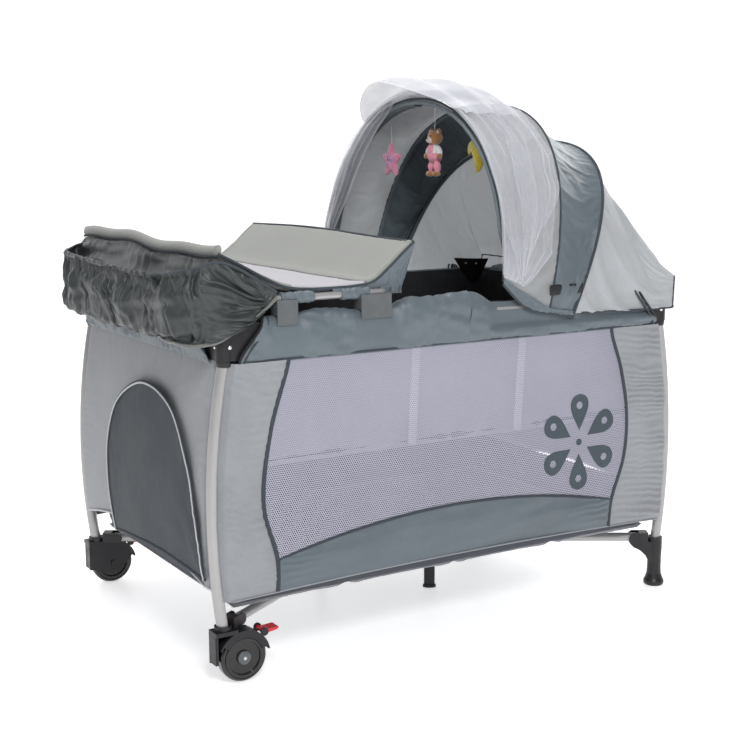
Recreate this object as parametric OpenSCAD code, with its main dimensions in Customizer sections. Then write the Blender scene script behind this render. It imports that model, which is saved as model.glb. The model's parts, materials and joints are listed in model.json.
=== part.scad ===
// Travel play yard: folding frame, fabric sides, bassinet insert, changing table and canopy.
// Millimetres. +X points to the canopy end, +Z is up.
// The origin is on the floor, under the middle of the footprint.

/* [Frame] */
// Half the distance between the feet along the yard
foot_x = 612; // [600:1:625]
// Half the distance between the tops of the posts along the yard
top_x = 596; // [588:1:604]
// Half the distance between the posts across the yard
post_y = 383; // [370:1:395]
// How far each post bows outwards at half its height
post_bow = 26; // [15:1:32]
// Outer radius of the posts and top rails
tube_r = 12.5; // [12:0.5:13]
// Wall of every steel tube
tube_wall = 1.2; // [1:0.1:1.8]
// Height of the middle of the top rails
rail_z = 750; // [745:1:752]
// Outer radius of the base tubes
base_r = 11; // [10:0.5:11]

/* [Fold] */
// Distance from the hub's centre to the pivots of the base tubes
hub_pivot = 80; // [78:1:84]
// Distance from a post to the pivot of its base tube
foot_pivot = 55; // [53:1:58]
// Distance from a post to the pivot of its long rail
long_pivot = 52; // [50:1:54]
// Distance from a post to the pivot of its short rail
short_pivot = 43; // [42:1:44]

/* [Casters] */
// Radius of the wheels
wheel_r = 53; // [50:1:53]
// Width of the wheels
wheel_w = 28; // [24:1:28]

/* [Canopy] */
// Half the width of the canopy at its foot
canopy_y = 404.6; // [404.4:0.2:406]
// Lean of the front hoop
front_lean = 4; // [3:0.5:5]
// Lean of the middle hoop
mid_lean = 11.6; // [11:0.2:12]
// Lean of the rear hoop
rear_lean = 24; // [23:0.5:25]

/* [Fabric] */
// Thickness of the fabric walls
cloth = 2.4; // [2:0.1:2.6]
// Height of the bassinet's underside
bassinet_z = 440; // [420:5:460]

/* [Hidden] */
$fn = 48;

// Colours
steel = [0.78, 0.79, 0.81];
black = [0.08, 0.08, 0.09];
slate = [0.33, 0.38, 0.39];
light_cloth = [0.66, 0.68, 0.70];
net_white = [0.90, 0.91, 0.94];
pad_grey = [0.66, 0.67, 0.64];
brake_red = [0.75, 0.04, 0.08];

// Frame, from the driving dimensions. The base tubes run along the diagonals of the yard.
base_z = 125;
diagonal = sqrt(foot_x * foot_x + post_y * post_y);
dir_x = foot_x / diagonal;
dir_y = post_y / diagonal;
diagonal_turn = atan(post_y / foot_x);
base_len = diagonal - hub_pivot - foot_pivot;
// Each half rail spans as far as a base tube does, so the posts stay upright while folding
long_half = base_len * dir_x;
short_half = base_len * dir_y;
long_gap = top_x - long_pivot - long_half;
short_gap = post_y - short_pivot - short_half;

// Bowed posts: an arc in the XZ plane, cut level at both ends
post_low = 118;
post_high = 690;
post_rise = post_high - post_low;
post_lean = atan((foot_x - top_x) / post_rise);
chord = post_rise / cos(post_lean);
arc_r = (chord * chord / 4 + post_bow * post_bow) / (2 * post_bow);
arc_x = (foot_x + top_x) / 2 - (arc_r - post_bow) * cos(post_lean);
arc_z = (post_high + post_low) / 2 - (arc_r - post_bow) * sin(post_lean);
arc_turn = asin(chord / 2 / arc_r);
function post_x(z) = arc_x + sqrt(arc_r * arc_r - (z - arc_z) * (z - arc_z));

// Pins and their holes
pin_r = 3.5;
pin_hole = 3.55;
open_hole = 4.1;
small_pin = 2.5;
small_hole = 2.55;
ear_gap = 0.6;
ear = 3;

// Casters
wheel_x = foot_x - 40;
wheel_y = post_y + 5;
axle_r = 4;
fender_in = wheel_r + 4;
fender_out = fender_in + 3.5;
plate_y = post_y - 17;
plate_t = 5;
guard_y = wheel_y + wheel_w / 2 + 0.6;
pedal_x = wheel_x - 48;
pedal_z = wheel_r + 49;

// Rail covers
cover_out = post_y + 18.5;
cover_in = post_y - 25;
cover_low = 672;
cover_top = 775;
cover_wall = 2;

// Changer, across the yard at the caster end
changer_tube = 8;
changer_z = 810;
changer_x0 = -508;
changer_x1 = -208;
changer_y = 390;
changer_corner = 25;
clips = [[-459, 24], [-243, 38]];  // middle and half width of each clip

// Canopy hoops: superellipse arches. [foot x, foot z, height, lean, exponent]
mount_z = 788;
front_arch = [96, 815, 422, front_lean, 2.07];
mid_arch = [232, 740, 493, mid_lean, 2.6];
rear_arch = [305, 728, 442, rear_lean, 3.0];
hoop_r = 5;
canopy_cloth = 1.4;
hoop_inset = 10;
hoop_pivot_x = 250;
front_eye_y = 390;
mid_eye_y = 377;
eye_half = 5.6;
rear_socket_x = 318;
rear_socket_y = 386;
arch_steps = 24;

// ---------- Helpers ----------

// Builds a child for the far right corner, and mirrors it to the corner asked for
module quadrant(sx, sy)
  mirror([sx < 0 ? 1 : 0, 0, 0]) mirror([0, sy < 0 ? 1 : 0, 0]) children();

// A box from its lowest to its highest corner
module block(lo, hi) translate(lo) cube(hi - lo);

// A cylinder along Y between two values of y
module rod_y(x, z, r, y0, y1) translate([x, y1, z]) rotate([90, 0, 0]) cylinder(r = r, h = y1 - y0);

// An XZ outline made solid between two values of y
module slab_y(points, y0, y1)
  translate([0, y1, 0]) rotate([90, 0, 0]) linear_extrude(y1 - y0) polygon(points);

// A YZ outline made solid between two values of x
module slab_x(points, x0, x1)
  translate([x0, 0, 0]) rotate([90, 0, 90]) linear_extrude(x1 - x0) polygon(points);

// The posts' arc, as a round bar
module bowed(r, a0, a1)
  translate([arc_x, 0, arc_z]) rotate([90, 0, 0]) rotate([0, 0, a0])
    rotate_extrude(angle = a1 - a0, $fn = 360) translate([arc_r, 0]) circle(r, $fn = 48);

function unit(v) = v / norm(v);

// Outline of a strip of thickness t to the left of an open path
function strip_normal(p, i) =
  let (a = p[max(i - 1, 0)], b = p[min(i + 1, len(p) - 1)], d = unit(b - a)) [-d[1], d[0]];
function strip(p, t) = concat(
  p, [for (i = [len(p) - 1:-1:0]) p[i] + t * strip_normal(p, i)]);

// A superellipse arch: t runs from 0 at the near foot to 180 at the far foot
function arch(a, w, drop, t) =
  let (
    c = cos(t),
    s = sin(t),
    y = -w * sign(c) * pow(abs(c), 2 / a[4]),
    up = (a[2] - drop) * pow(abs(s), 2 / a[4])
  ) [a[0] + up * sin(a[3]), y, a[1] + up * cos(a[3])];

// A closed sheet of thickness t built inwards from a grid of points
module sheet(g, t) {
  rows = len(g);
  cols = len(g[0]);
  function inside(i, n) = min(max(i, 1), n - 2);
  function across(i, j) = cross(g[i + 1][j] - g[i - 1][j], g[i][j + 1] - g[i][j - 1]);
  // the border takes the direction of its neighbour inside the grid
  function normal(i, j) = unit(across(inside(i, rows), inside(j, cols)));
  outer = [for (i = [0:rows - 1]) for (j = [0:cols - 1]) g[i][j]];
  inner = [for (i = [0:rows - 1]) for (j = [0:cols - 1]) g[i][j] - t * normal(i, j)];
  n = rows * cols;
  function id(i, j) = i * cols + j;
  faces = concat(
    [for (i = [0:rows - 2]) for (j = [0:cols - 2]) each [
      [id(i, j), id(i, j + 1), id(i + 1, j + 1)],
      [id(i, j), id(i + 1, j + 1), id(i + 1, j)],
      [n + id(i, j), n + id(i + 1, j + 1), n + id(i, j + 1)],
      [n + id(i, j), n + id(i + 1, j), n + id(i + 1, j + 1)]
    ]],
    [for (j = [0:cols - 2]) each [
      [id(0, j), n + id(0, j + 1), id(0, j + 1)],
      [id(0, j), n + id(0, j), n + id(0, j + 1)],
      [id(rows - 1, j), id(rows - 1, j + 1), n + id(rows - 1, j + 1)],
      [id(rows - 1, j), n + id(rows - 1, j + 1), n + id(rows - 1, j)]
    ]],
    [for (i = [0:rows - 2]) each [
      [id(i, 0), id(i + 1, 0), n + id(i + 1, 0)],
      [id(i, 0), n + id(i + 1, 0), n + id(i, 0)],
      [id(i, cols - 1), n + id(i + 1, cols - 1), id(i + 1, cols - 1)],
      [id(i, cols - 1), n + id(i, cols - 1), n + id(i + 1, cols - 1)]
    ]]);
  polyhedron(points = concat(outer, inner), faces = faces, convexity = 6);
}

// A round bar swept along a path that never runs along X
module bar(path, r, sides = 12) {
  last = len(path) - 1;
  function ahead(i) = unit(path[min(i + 1, last)] - path[max(i - 1, 0)]);
  function side(i) = let (d = ahead(i)) unit([1, 0, 0] - d[0] * d);
  points = [for (i = [0:last]) let (u = side(i), v = cross(ahead(i), u))
    for (k = [0:sides - 1]) path[i] + r * (cos(360 * k / sides) * u + sin(360 * k / sides) * v)];
  faces = concat(
    [[for (k = [0:sides - 1]) k]],
    [for (i = [0:last - 1]) for (k = [0:sides - 1]) let (m = (k + 1) % sides)
      [i * sides + k, (i + 1) * sides + k, (i + 1) * sides + m, i * sides + m]],
    [[for (k = [sides - 1:-1:0]) last * sides + k]]);
  polyhedron(points = points, faces = faces, convexity = 8);
}

// ---------- Base ----------

// A straight tube from one pivot to the other, with rounded ends and a pin hole in each
module pivot_tube(length, r, hole_a, hole_b) {
  difference() {
    intersection() {
      translate([-r, 0, 0]) rotate([0, 90, 0]) cylinder(r = r, h = length + 2 * r);
      union() {
        rod_y(0, 0, r, -r, r);
        rod_y(length, 0, r, -r, r);
        block([0, -r, -r], [length, r, r]);
      }
    }
    translate([-r - 1, 0, 0]) rotate([0, 90, 0]) cylinder(r = r - tube_wall, h = length + 2 * r + 2);
    rod_y(0, 0, hole_a, -r - 1, r + 1);
    rod_y(length, 0, hole_b, -r - 1, r + 1);
  }
}

// The frame of a base tube: +X runs outwards from its pivot on the hub
module on_diagonal(sx, sy)
  translate([sx * hub_pivot * dir_x, sy * hub_pivot * dir_y, base_z])
    rotate([0, 0, atan2(sy * dir_y, sx * dir_x)]) children();

module base_tube(sx, sy)
  color(steel) on_diagonal(sx, sy) pivot_tube(base_len, base_r, pin_hole, pin_hole);

module hub_housing() {
  arm_w = base_r + ear_gap + 4.4;
  arm_end = hub_pivot + 13;
  slot_from = hub_pivot - base_r - 3;
  color(black) {
    difference() {
      union() {
        translate([0, 0, base_z - 18]) cylinder(r = 58, h = 36);
        translate([0, 0, base_z + 17]) cylinder(r = 20, h = 8);
        for (sx = [-1, 1]) for (sy = [-1, 1]) rotate([0, 0, atan2(sy * dir_y, sx * dir_x)])
          block([0, -arm_w, base_z - 18], [arm_end, arm_w, base_z + 18]);
      }
      for (sx = [-1, 1]) for (sy = [-1, 1]) rotate([0, 0, atan2(sy * dir_y, sx * dir_x)])
        block([slot_from, -base_r - ear_gap, base_z - 19], [arm_end + 1, base_r + ear_gap, base_z + 13]);
    }
    for (sx = [-1, 1]) for (sy = [-1, 1])
      on_diagonal(sx, sy) rod_y(0, 0, pin_r, -arm_w, arm_w);
  }
}

// A foot clamped on a base tube near the hub, standing beside the tube
module centre_foot(sx, sy) {
  at = 60;
  aside = 25;
  color(black) on_diagonal(sx, sy) difference() {
    union() {
      translate([at - 13, 0, 0]) rotate([0, 90, 0]) cylinder(r = base_r + 4, h = 26);
      block([at - 13, -aside, -14], [at + 13, -4, 14]);
      translate([at, -aside, -base_z + 6]) scale([1, 0.6, 1]) cylinder(r = 14, h = base_z + 8);
      translate([at, -aside, -base_z]) scale([1, 0.7, 1]) cylinder(r = 17, h = 6);
    }
    translate([at - 14, 0, 0]) rotate([0, 90, 0]) cylinder(r = base_r, h = 28);
  }
}

// ---------- Corners ----------

module post(sx, sy)
  color(steel) quadrant(sx, sy) translate([0, post_y, 0]) difference() {
    intersection() {
      bowed(tube_r, post_lean - arc_turn - 1, post_lean + arc_turn + 1);
      block([top_x - 40, -20, post_low], [foot_x + 60, 20, post_high]);
    }
    bowed(tube_r - tube_wall, post_lean - arc_turn - 2, post_lean + arc_turn + 2);
  }

// Black corner piece on top of a post, with an ear on each side of both rails
module bracket(sx, sy) {
  in = tube_r + ear_gap;
  out = in + ear;
  high = rail_z + 16;
  color(black) quadrant(sx, sy) {
    translate([top_x, post_y, post_high]) cylinder(r = 18, h = high - post_high);
    translate([top_x, post_y, post_high - 22]) cylinder(r = 6, h = 23);
    for (s = [-1, 1]) translate([0, post_y + s * (in + ear / 2), 0]) slab_y([
      [top_x + 4, post_high], [top_x + 4, high], [top_x - 80, high], [top_x - 84, high - 8],
      [top_x - 80, rail_z - 10], [top_x - 26, post_high]
    ], -ear / 2, ear / 2);
    for (s = [-1, 1]) translate([top_x + s * (in + ear / 2), 0, 0]) slab_x([
      [post_y + 4, post_high], [post_y + 4, high], [post_y - 68, high], [post_y - 72, high - 8],
      [post_y - 68, rail_z - 10], [post_y - 26, post_high]
    ], -ear / 2, ear / 2);
    block([top_x - 80, post_y - out, high - 2.6], [top_x, post_y + out, high]);
    block([top_x - out, post_y - 68, high - 2.6], [top_x + out, post_y, high]);
    rod_y(top_x - long_pivot, rail_z, pin_r, post_y - out, post_y + out);
    translate([top_x - out, post_y - short_pivot, rail_z]) rotate([0, 90, 0])
      cylinder(r = pin_r, h = 2 * out);
  }
}

// The arm that holds a base tube's outer end. Its frame runs from the post towards the hub.
module base_arm(outline) {
  half = base_r + ear_gap + 4;
  translate([foot_x, post_y, 0]) rotate([0, 0, 180 + diagonal_turn]) {
    difference() {
      slab_y(outline, -half, half);
      block([foot_pivot - base_r - 2, -base_r - ear_gap, base_z - base_r - 1.5],
        [foot_pivot + 40, base_r + ear_gap, base_z + 60]);
    }
    rod_y(foot_pivot, base_z, pin_r, -half, half);
  }
}

// Ring that the post's lower end stands in
module post_socket()
  translate([foot_x, post_y, post_low - 1]) difference() {
    cylinder(r = 18.5, h = 10);
    translate([0, 0, 1]) cylinder(r = 15, h = 10);
  }

module corner_foot(sx, sy)
  color(black) quadrant(sx, sy) {
    translate([foot_x, post_y, 0]) rotate_extrude() polygon([
      [0, 0], [23, 0], [26, 4], [26, 11], [22, 19], [18.5, 30], [17.5, 45], [17.5, 75],
      [18.5, 95], [18.5, post_low], [0, post_low]
    ]);
    post_socket();
    base_arm([
      [0, 62], [16, 62], [24, 78], [40, 93], [58, 102], [67, 112], [69, 124], [66, 134],
      [58, 139], [20, 139], [20, post_low - 2], [0, post_low - 2]
    ]);
  }

// Fork, mudguard and axle of a caster, beside its wheel
module caster_housing(sx, sy)
  color(black) quadrant(sx, sy) {
    // seat under the post, and the wall outboard of the wheel
    block([foot_x - 26, plate_y, wheel_r * 2 + 3], [foot_x + 25, guard_y + 2, post_low]);
    post_socket();
    block([foot_x + 18, plate_y, 46], [foot_x + 25, guard_y - 4, 110]);
    // side plate inboard of the wheel
    slab_y([
      [foot_x + 25, 44], [foot_x + 25, 112], [wheel_x - 20, 112], [wheel_x - 44, 92],
      [wheel_x - 52, 70], [wheel_x - 20, 36], [wheel_x, 32], [foot_x - 8, 38]
    ], plate_y, plate_y + plate_t);
    // mudguard
    translate([wheel_x, guard_y + 2, wheel_r]) rotate([90, 0, 0]) rotate([0, 0, 24])
      rotate_extrude(angle = 146) translate([fender_in, 0])
        square([fender_out - fender_in, guard_y + 2 - plate_y]);
    translate([wheel_x, guard_y + 2, wheel_r]) rotate([90, 0, 0]) rotate([0, 0, 34])
      rotate_extrude(angle = 128) translate([wheel_r - 9, 0]) square([fender_out - wheel_r + 9, 2]);
    // axle
    rod_y(wheel_x, wheel_r, axle_r, plate_y, guard_y + 1);
    rod_y(wheel_x, wheel_r, 8, plate_y - 3, plate_y + 1);
    rod_y(wheel_x, wheel_r, 7, guard_y - 0.4, guard_y + 2);
    // pivot of the brake pedal
    for (y = [plate_y, guard_y - 2]) rod_y(pedal_x, pedal_z, 9, y, y + 4);
    rod_y(pedal_x, pedal_z, small_pin, plate_y, guard_y);
    base_arm([
      [0, 113], [60, 113], [68, 118], [69, 126], [66, 134], [58, 139], [20, 139],
      [20, post_low - 2], [0, post_low - 2]
    ]);
  }

module wheel(sx, sy)
  color([0.12, 0.12, 0.13]) quadrant(sx, sy) translate([wheel_x, wheel_y, wheel_r])
    rotate([90, 0, 0]) rotate_extrude($fn = 96) polygon([
      [axle_r + 0.06, -wheel_w / 2], [11, -wheel_w / 2], [13, -8], [34, -8], [38, -10],
      [40, -wheel_w / 2 + 2], [47, -wheel_w / 2], [50, -wheel_w / 2 + 1], [wheel_r, -9],
      [wheel_r, 9], [50, wheel_w / 2 - 1], [47, wheel_w / 2], [40, wheel_w / 2 - 2],
      [38, 10], [34, 8], [13, 8], [11, wheel_w / 2], [axle_r + 0.06, wheel_w / 2]
    ]);

module brake_pedal(sx, sy) {
  y0 = plate_y + 4.4;
  y1 = guard_y - 2.4;
  color(brake_red) quadrant(sx, sy) difference() {
    union() {
      rod_y(pedal_x, pedal_z, 5.4, y0, y1);
      slab_y([
        [pedal_x, pedal_z - 3], [pedal_x - 14, pedal_z - 4], [pedal_x - 30, pedal_z - 2],
        [pedal_x - 35, pedal_z + 1], [pedal_x - 35, pedal_z + 4], [pedal_x - 30, pedal_z + 4],
        [pedal_x - 14, pedal_z + 3], [pedal_x, pedal_z + 4]
      ], y0, y1);
    }
    rod_y(pedal_x, pedal_z, small_hole, y0 - 1, y1 + 1);
  }
}

// ---------- Top rails ----------

// Places a half rail: side 0 near, 1 far, 2 left, 3 right; end -1 or 1 is the post it hangs on
module on_rail(side, end) {
  long = side < 2;
  s = side % 2 == 0 ? -1 : 1;
  x = long ? end * (top_x - long_pivot) : s * top_x;
  y = long ? s * post_y : end * (post_y - short_pivot);
  translate([x, y, rail_z]) rotate([0, 0, (long ? 0 : 90) + (end > 0 ? 180 : 0)]) children();
}

// The second half of each rail turns on the open pivot of the lock, in a looser hole
module half_rail(side, end)
  color(steel) on_rail(side, end)
    pivot_tube(side < 2 ? long_half : short_half, tube_r, pin_hole, end < 0 ? pin_hole : open_hole);

// Places a lock: its X runs along the rail
module on_lock(side) {
  s = side % 2 == 0 ? -1 : 1;
  translate(side < 2 ? [0, s * post_y, rail_z] : [s * top_x, 0, rail_z])
    rotate([0, 0, side < 2 ? 0 : 90]) children();
}

lock_floor = 15;
button_w = 9;

module rail_lock(side) {
  gap = side < 2 ? long_gap : short_gap;
  in = tube_r + ear_gap;
  out = in + ear;
  end = gap + 16;
  color(black) on_lock(side) {
    for (s = [-1, 1]) translate([0, s * (in + ear / 2), 0]) slab_y([
      [-end, -8], [-end + 6, -14], [end - 6, -14], [end, -8], [end, 12], [end - 4, 16.5],
      [-end + 4, 16.5], [-end, 12]
    ], -ear / 2, ear / 2);
    block([tube_r + 1 - gap, -out, tube_r + 1], [gap - tube_r - 1, out, 16.5]);
    difference() {
      block([-lock_floor, -out, -17], [lock_floor, out, -14]);
      block([-button_w - 0.3, -7.3, -18], [button_w + 0.3, 7.3, -13]);
    }
    for (x = [-gap, gap]) rod_y(x, 0, pin_r, -out, out);
  }
}

module lock_button(side)
  color(black) on_lock(side) {
    block([-button_w, -7, -23], [button_w, 7, -6]);
    block([-button_w - 3, -10, -13.6], [button_w + 3, 10, -10]);
  }

// ---------- Fabric of the yard ----------

hem_z = 178;
end_hem_z = 205;
cover_cut_low = 34;
cover_cut_top = 88;
end_cut_low = 30;
end_cut_top = 76;

// One long side: the mesh wall, and the padded cover over its top rail
module long_side(sy) {
  steps = 12;
  edge = [for (i = [0:steps]) let (z = hem_z + (post_high - hem_z) * i / steps)
    [post_x(z) - tube_r - 0.5, z]];
  low = top_x - cover_cut_low;
  top = top_x - cover_cut_top;
  cover = [[-low, cover_low], [low, cover_low], [top, cover_top], [-top, cover_top]];
  color(light_cloth) quadrant(1, sy) {
    slab_y(concat(edge, [for (i = [steps:-1:0]) [-edge[i][0], edge[i][1]]]), cover_out - cover_wall, cover_out);
    slab_y(cover, cover_out - cover_wall, cover_out);
    slab_y(cover, cover_in, cover_in + cover_wall);
    block([-top, cover_in, cover_top - cover_wall], [top, cover_out, cover_top]);
  }
}

// One end: the curved wall, and the padded cover over its top rail
module end_side(sx) {
  in = arc_r + tube_r + 1;
  reach = post_y - tube_r - 1;
  low = post_y - end_cut_low;
  top = post_y - end_cut_top;
  out = top_x + 25;
  cover = [[-low, cover_low], [low, cover_low], [top, cover_top], [-top, cover_top]];
  a0 = asin((end_hem_z - arc_z) / in);
  a1 = asin((post_high - 1 - arc_z) / in);
  color(light_cloth) quadrant(sx, 1) {
    translate([arc_x, reach, arc_z]) rotate([90, 0, 0]) rotate([0, 0, a0])
      rotate_extrude(angle = a1 - a0, $fn = 360) translate([in, 0]) square([cloth, 2 * reach]);
    slab_x(cover, out - cover_wall, out);
    slab_x(cover, top_x - 25, top_x - 25 + cover_wall);
    block([top_x - 25, -top, cover_top - cover_wall], [out, top, cover_top]);
    block([post_x(cover_low) + tube_r + 1.6, -low, cover_low], [out, low, cover_low + 4]);
  }
}

module mattress()
  color(slate) translate([0, 0, 150]) linear_extrude(22) offset(r = 20, $fn = 32)
    square([2 * (top_x - 34), 2 * (post_y - 38)], center = true);

// Fabric tub that hangs between the covers, with its padded floor
module bassinet() {
  x = top_x - 32;
  y = cover_in - 4.5;
  color(light_cloth) {
    for (s = [-1, 1]) block([-x, min(s * y, s * (y - cloth)), bassinet_z],
      [x, max(s * y, s * (y - cloth)), cover_top - 8]);
    for (s = [-1, 1]) block([min(s * x, s * (x - cloth)), -y, bassinet_z],
      [max(s * x, s * (x - cloth)), y, cover_top - 8]);
    block([-x, -y, bassinet_z], [x, y, bassinet_z + 26]);
  }
}

// ---------- Changing table ----------

module changer_frame() {
  r = changer_corner;
  x0 = changer_x0;
  x1 = changer_x1;
  y = changer_y;
  color(steel) translate([0, 0, changer_z]) {
    for (x = [x0, x1]) rod_y(x, 0, changer_tube, -y + r, y - r);
    for (s = [-1, 1]) translate([x0 + r, s * y, 0]) rotate([0, 90, 0])
      cylinder(r = changer_tube, h = x1 - x0 - 2 * r);
    for (sx = [0, 1]) for (sy = [0, 1])
      translate([sx == 0 ? x0 + r : x1 - r, sy == 0 ? -y + r : y - r, 0])
        rotate([0, 0, sx == 0 ? (sy == 0 ? 180 : 90) : (sy == 0 ? 270 : 0)])
          rotate_extrude(angle = 90) translate([r, 0]) circle(changer_tube);
  }
}

// Four clips that sit on the covered rails and hook over their outer face
module changer_clips()
  color([0.35, 0.37, 0.38]) for (clip = clips) for (sy = [-1, 1]) quadrant(1, sy) {
    x = clip[0];
    clip_half = clip[1];
    block([x - clip_half, changer_y - 16, cover_top + 1], [x + clip_half, cover_out + 4, changer_z - changer_tube]);
    block([x - clip_half, cover_out + 1, 755], [x + clip_half, cover_out + 4.5, changer_z - changer_tube + 6]);
    // inner lip, on the side of the clip that is clear of the frame's corner
    lip = x + (x < (changer_x0 + changer_x1) / 2 ? 1 : -1) * (clip_half - 12);
    block([lip - 10, changer_y - 16, changer_z - changer_tube - 1],
      [lip + 10, changer_y - 11, changer_z - changer_tube + 6]);
  }

// Trough-shaped pad: [bottom x, bottom z] and [top x, top z] from the outer flap to the inner one
pad_y = 391;
pad_low = [[-611, 898], [-452, 819], [-240, 819], [-131, 913]];
pad_top = [[-140, 925], [-246, 834], [-449, 834], [-605, 911]];

module changer_pad() color(pad_grey) slab_y(concat(pad_low, pad_top), -pad_y, pad_y);

// Storage pocket that hangs outside the end, with its near side drawn round the corner
module organiser_pocket() {
  near = -414;
  far = 374;
  back = [[-618, 894], [-632, 830], [-645, 770], [-650, 736]];
  front = [[-648, 736], [-675, 738], [-692, 760], [-699, 810], [-692, 868]];
  wrap = [
    [-618, 894], [-692, 868], [-699, 810], [-692, 760], [-675, 738], [-650, 734], [-616, 738],
    [-561, 765], [-489, 815], [-491, 828], [-554, 868]
  ];
  far_wall = [[-618, 894], [-692, 868], [-699, 810], [-692, 760], [-675, 738], [-650, 736]];
  color([0.29, 0.32, 0.31]) {
    slab_y(strip(back, cloth), near, far);
    slab_y(strip(front, cloth), near, far);
    slab_y(wrap, near, near + cloth);
    slab_y(far_wall, far - cloth, far);
  }
}

// ---------- Canopy ----------

module canopy_mounts()
  color(black) for (sy = [-1, 1]) quadrant(1, sy) {
    in = mid_eye_y - eye_half - 4;
    out = front_eye_y + eye_half + 3;
    difference() {
      block([hoop_pivot_x - 14, in, cover_top + 1], [rear_socket_x + 11, out, mount_z + 11]);
      block([hoop_pivot_x - 15, in + 3.6, cover_top + 4], [hoop_pivot_x + 24, out - 2.6, mount_z + 12]);
      translate([rear_socket_x, rear_socket_y, cover_top + 5]) cylinder(r = hoop_r, h = 60);
    }
    rod_y(hoop_pivot_x, mount_z, pin_r, in, out);
    // hook down the inner face of the rail cover
    block([hoop_pivot_x - 10, cover_in - 4, cover_top + 1], [rear_socket_x + 6, in + 1, cover_top + 6]);
    block([hoop_pivot_x - 10, cover_in - 4, 745], [rear_socket_x + 6, cover_in - 0.6, cover_top + 6]);
  }

// Hoop bar along an arch, from the height where the arch leaves the leg of the hoop
function hoop_arch(a, from, to) = [for (i = [0:arch_steps])
  arch(a, canopy_y - hoop_inset, hoop_inset, from + (to - from) * i / arch_steps)];

// Eye at each foot of a folding hoop
module hoop_eye(y) for (s = [-1, 1]) difference() {
  rod_y(hoop_pivot_x, mount_z, 8.5, s * y - eye_half, s * y + eye_half);
  rod_y(hoop_pivot_x, mount_z, pin_hole, s * y - eye_half - 1, s * y + eye_half + 1);
}

function mirrored(p) = [for (i = [len(p) - 1:-1:0]) [p[i][0], -p[i][1], p[i][2]]];

module folding_hoop(a, eye_y, leg, from) color(steel) {
  hoop_eye(eye_y);
  bar(concat(leg, hoop_arch(a, from, 180 - from), mirrored(leg)), hoop_r);
}

module hoop_front() folding_hoop(front_arch, front_eye_y, [
  [hoop_pivot_x - 6, -front_eye_y, mount_z + 2], [168, -front_eye_y, 812], [126, -front_eye_y, 840]
], 15);

module hoop_mid() folding_hoop(mid_arch, mid_eye_y, [
  [hoop_pivot_x, -mid_eye_y, mount_z + 6], [hoop_pivot_x + 1, -mid_eye_y, 812]
], 10);

module hoop_rear() {
  leg = [
    [rear_socket_x, -rear_socket_y, cover_top + 5], [rear_socket_x, -rear_socket_y, mount_z + 14]
  ];
  color(steel) bar(concat(leg, hoop_arch(rear_arch, 10, 170), mirrored(leg)), hoop_r - 0.2);
}

// Grid between two arches, with one row per share in rows
function between(a, b, rows) = [for (s = rows) [for (i = [0:arch_steps]) let (t = 180 * i / arch_steps)
  (1 - s) * arch(a, canopy_y, 0, t) + s * arch(b, canopy_y, 0, t)]];

// Loop sewn inside the canopy, with the pin that a toy swings on
module toy_loop(t) {
  p = toy_anchor(t);
  for (s = [-1, 1]) block([p[0] - 2, p[1] + s * 5.5 - 0.7, p[2] - 14],
    [p[0] + 2, p[1] + s * 5.5 + 0.7, toy_anchor(t + s * 0.8)[2] + 1.7]);
  rod_y(p[0], p[2] - 11, toy_pin, p[1] - 6, p[1] + 6);
}

module canopy_front() color(light_cloth) {
  sheet(between(front_arch, mid_arch, [0, 0.33, 0.67, 0.985]), canopy_cloth);
  for (t = toy_turns) toy_loop(t);
}

module canopy_mid() color(slate) sheet(between(mid_arch, rear_arch, [0.015, 0.33, 0.67, 0.985]), canopy_cloth);

// Where the rear hoop's panel ends: along the long rail, up the corner, across the end
rear_x = 636;
rear_low = 722;
rear_ridge = 806;
corner_from = 15;
corner_to = 50;
function rear_edge(t) =
  let (u = min(t, 180 - t), s = t < 90 ? -1 : 1, foot = rear_arch[0] + 24)
    u < corner_from ? let (k = u / corner_from)
      [foot + (rear_x - 8 - foot) * k, s * (canopy_y + 4 * k), rear_arch[1] + (rear_low - rear_arch[1]) * k] :
    u < corner_to ? let (k = (u - corner_from) / (corner_to - corner_from))
      [rear_x - 8 + 8 * k, s * (canopy_y + 4 - 5 * k), rear_low + (rear_ridge - rear_low) * k] :
    [rear_x, s * (canopy_y - 1) * (90 - u) / (90 - corner_to), rear_ridge];

module canopy_rear() {
  top = [for (s = [0.015, 0.25, 0.5, 0.75, 1]) [for (i = [0:36]) let (t = 5 * i)
    (1 - s) * arch(rear_arch, canopy_y, 0, t) + s * rear_edge(t)]];
  color(light_cloth) {
    sheet(top, cloth);
    block([rear_x - cloth, 1 - canopy_y, rear_low], [rear_x, canopy_y - 1, rear_ridge - 0.5]);
  }
}

// Bunched net over the front hoop
module net() {
  lift = 14;
  rows = [for (s = [-0.25, 0.1, 0.5, 0.93]) [for (i = [0:arch_steps]) let (t = 5 + 170 * i / arch_steps)
    (1 - s) * arch(front_arch, canopy_y + lift, -lift, t) + s * arch(mid_arch, canopy_y + lift, -lift, t)]];
  color(net_white) sheet(rows, 9);
}

// ---------- Toys ----------

// Where each toy hangs along the canopy, and how far back from the front hoop
toy_turns = [65.5, 90, 117];
toy_back = 0.27;
toy_pin = 1.4;
function toy_anchor(t) =
  (1 - toy_back) * arch(front_arch, canopy_y, 2.4, t) + toy_back * arch(mid_arch, canopy_y, 2.4, t);

// Puts a toy's own zero on its pin
module hung(i)
  let (p = toy_anchor(toy_turns[i])) translate([p[0], p[1], p[2] - 11]) children();

// Eye and strap that a toy hangs on
module toy_strap(length) {
  difference() {
    union() {
      rod_y(0, 0, 3, -4, 4);
      block([-0.8, -4, -length], [0.8, 4, 0]);
    }
    rod_y(0, 0, toy_pin + 0.2, -5, 5);
  }
}

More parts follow.
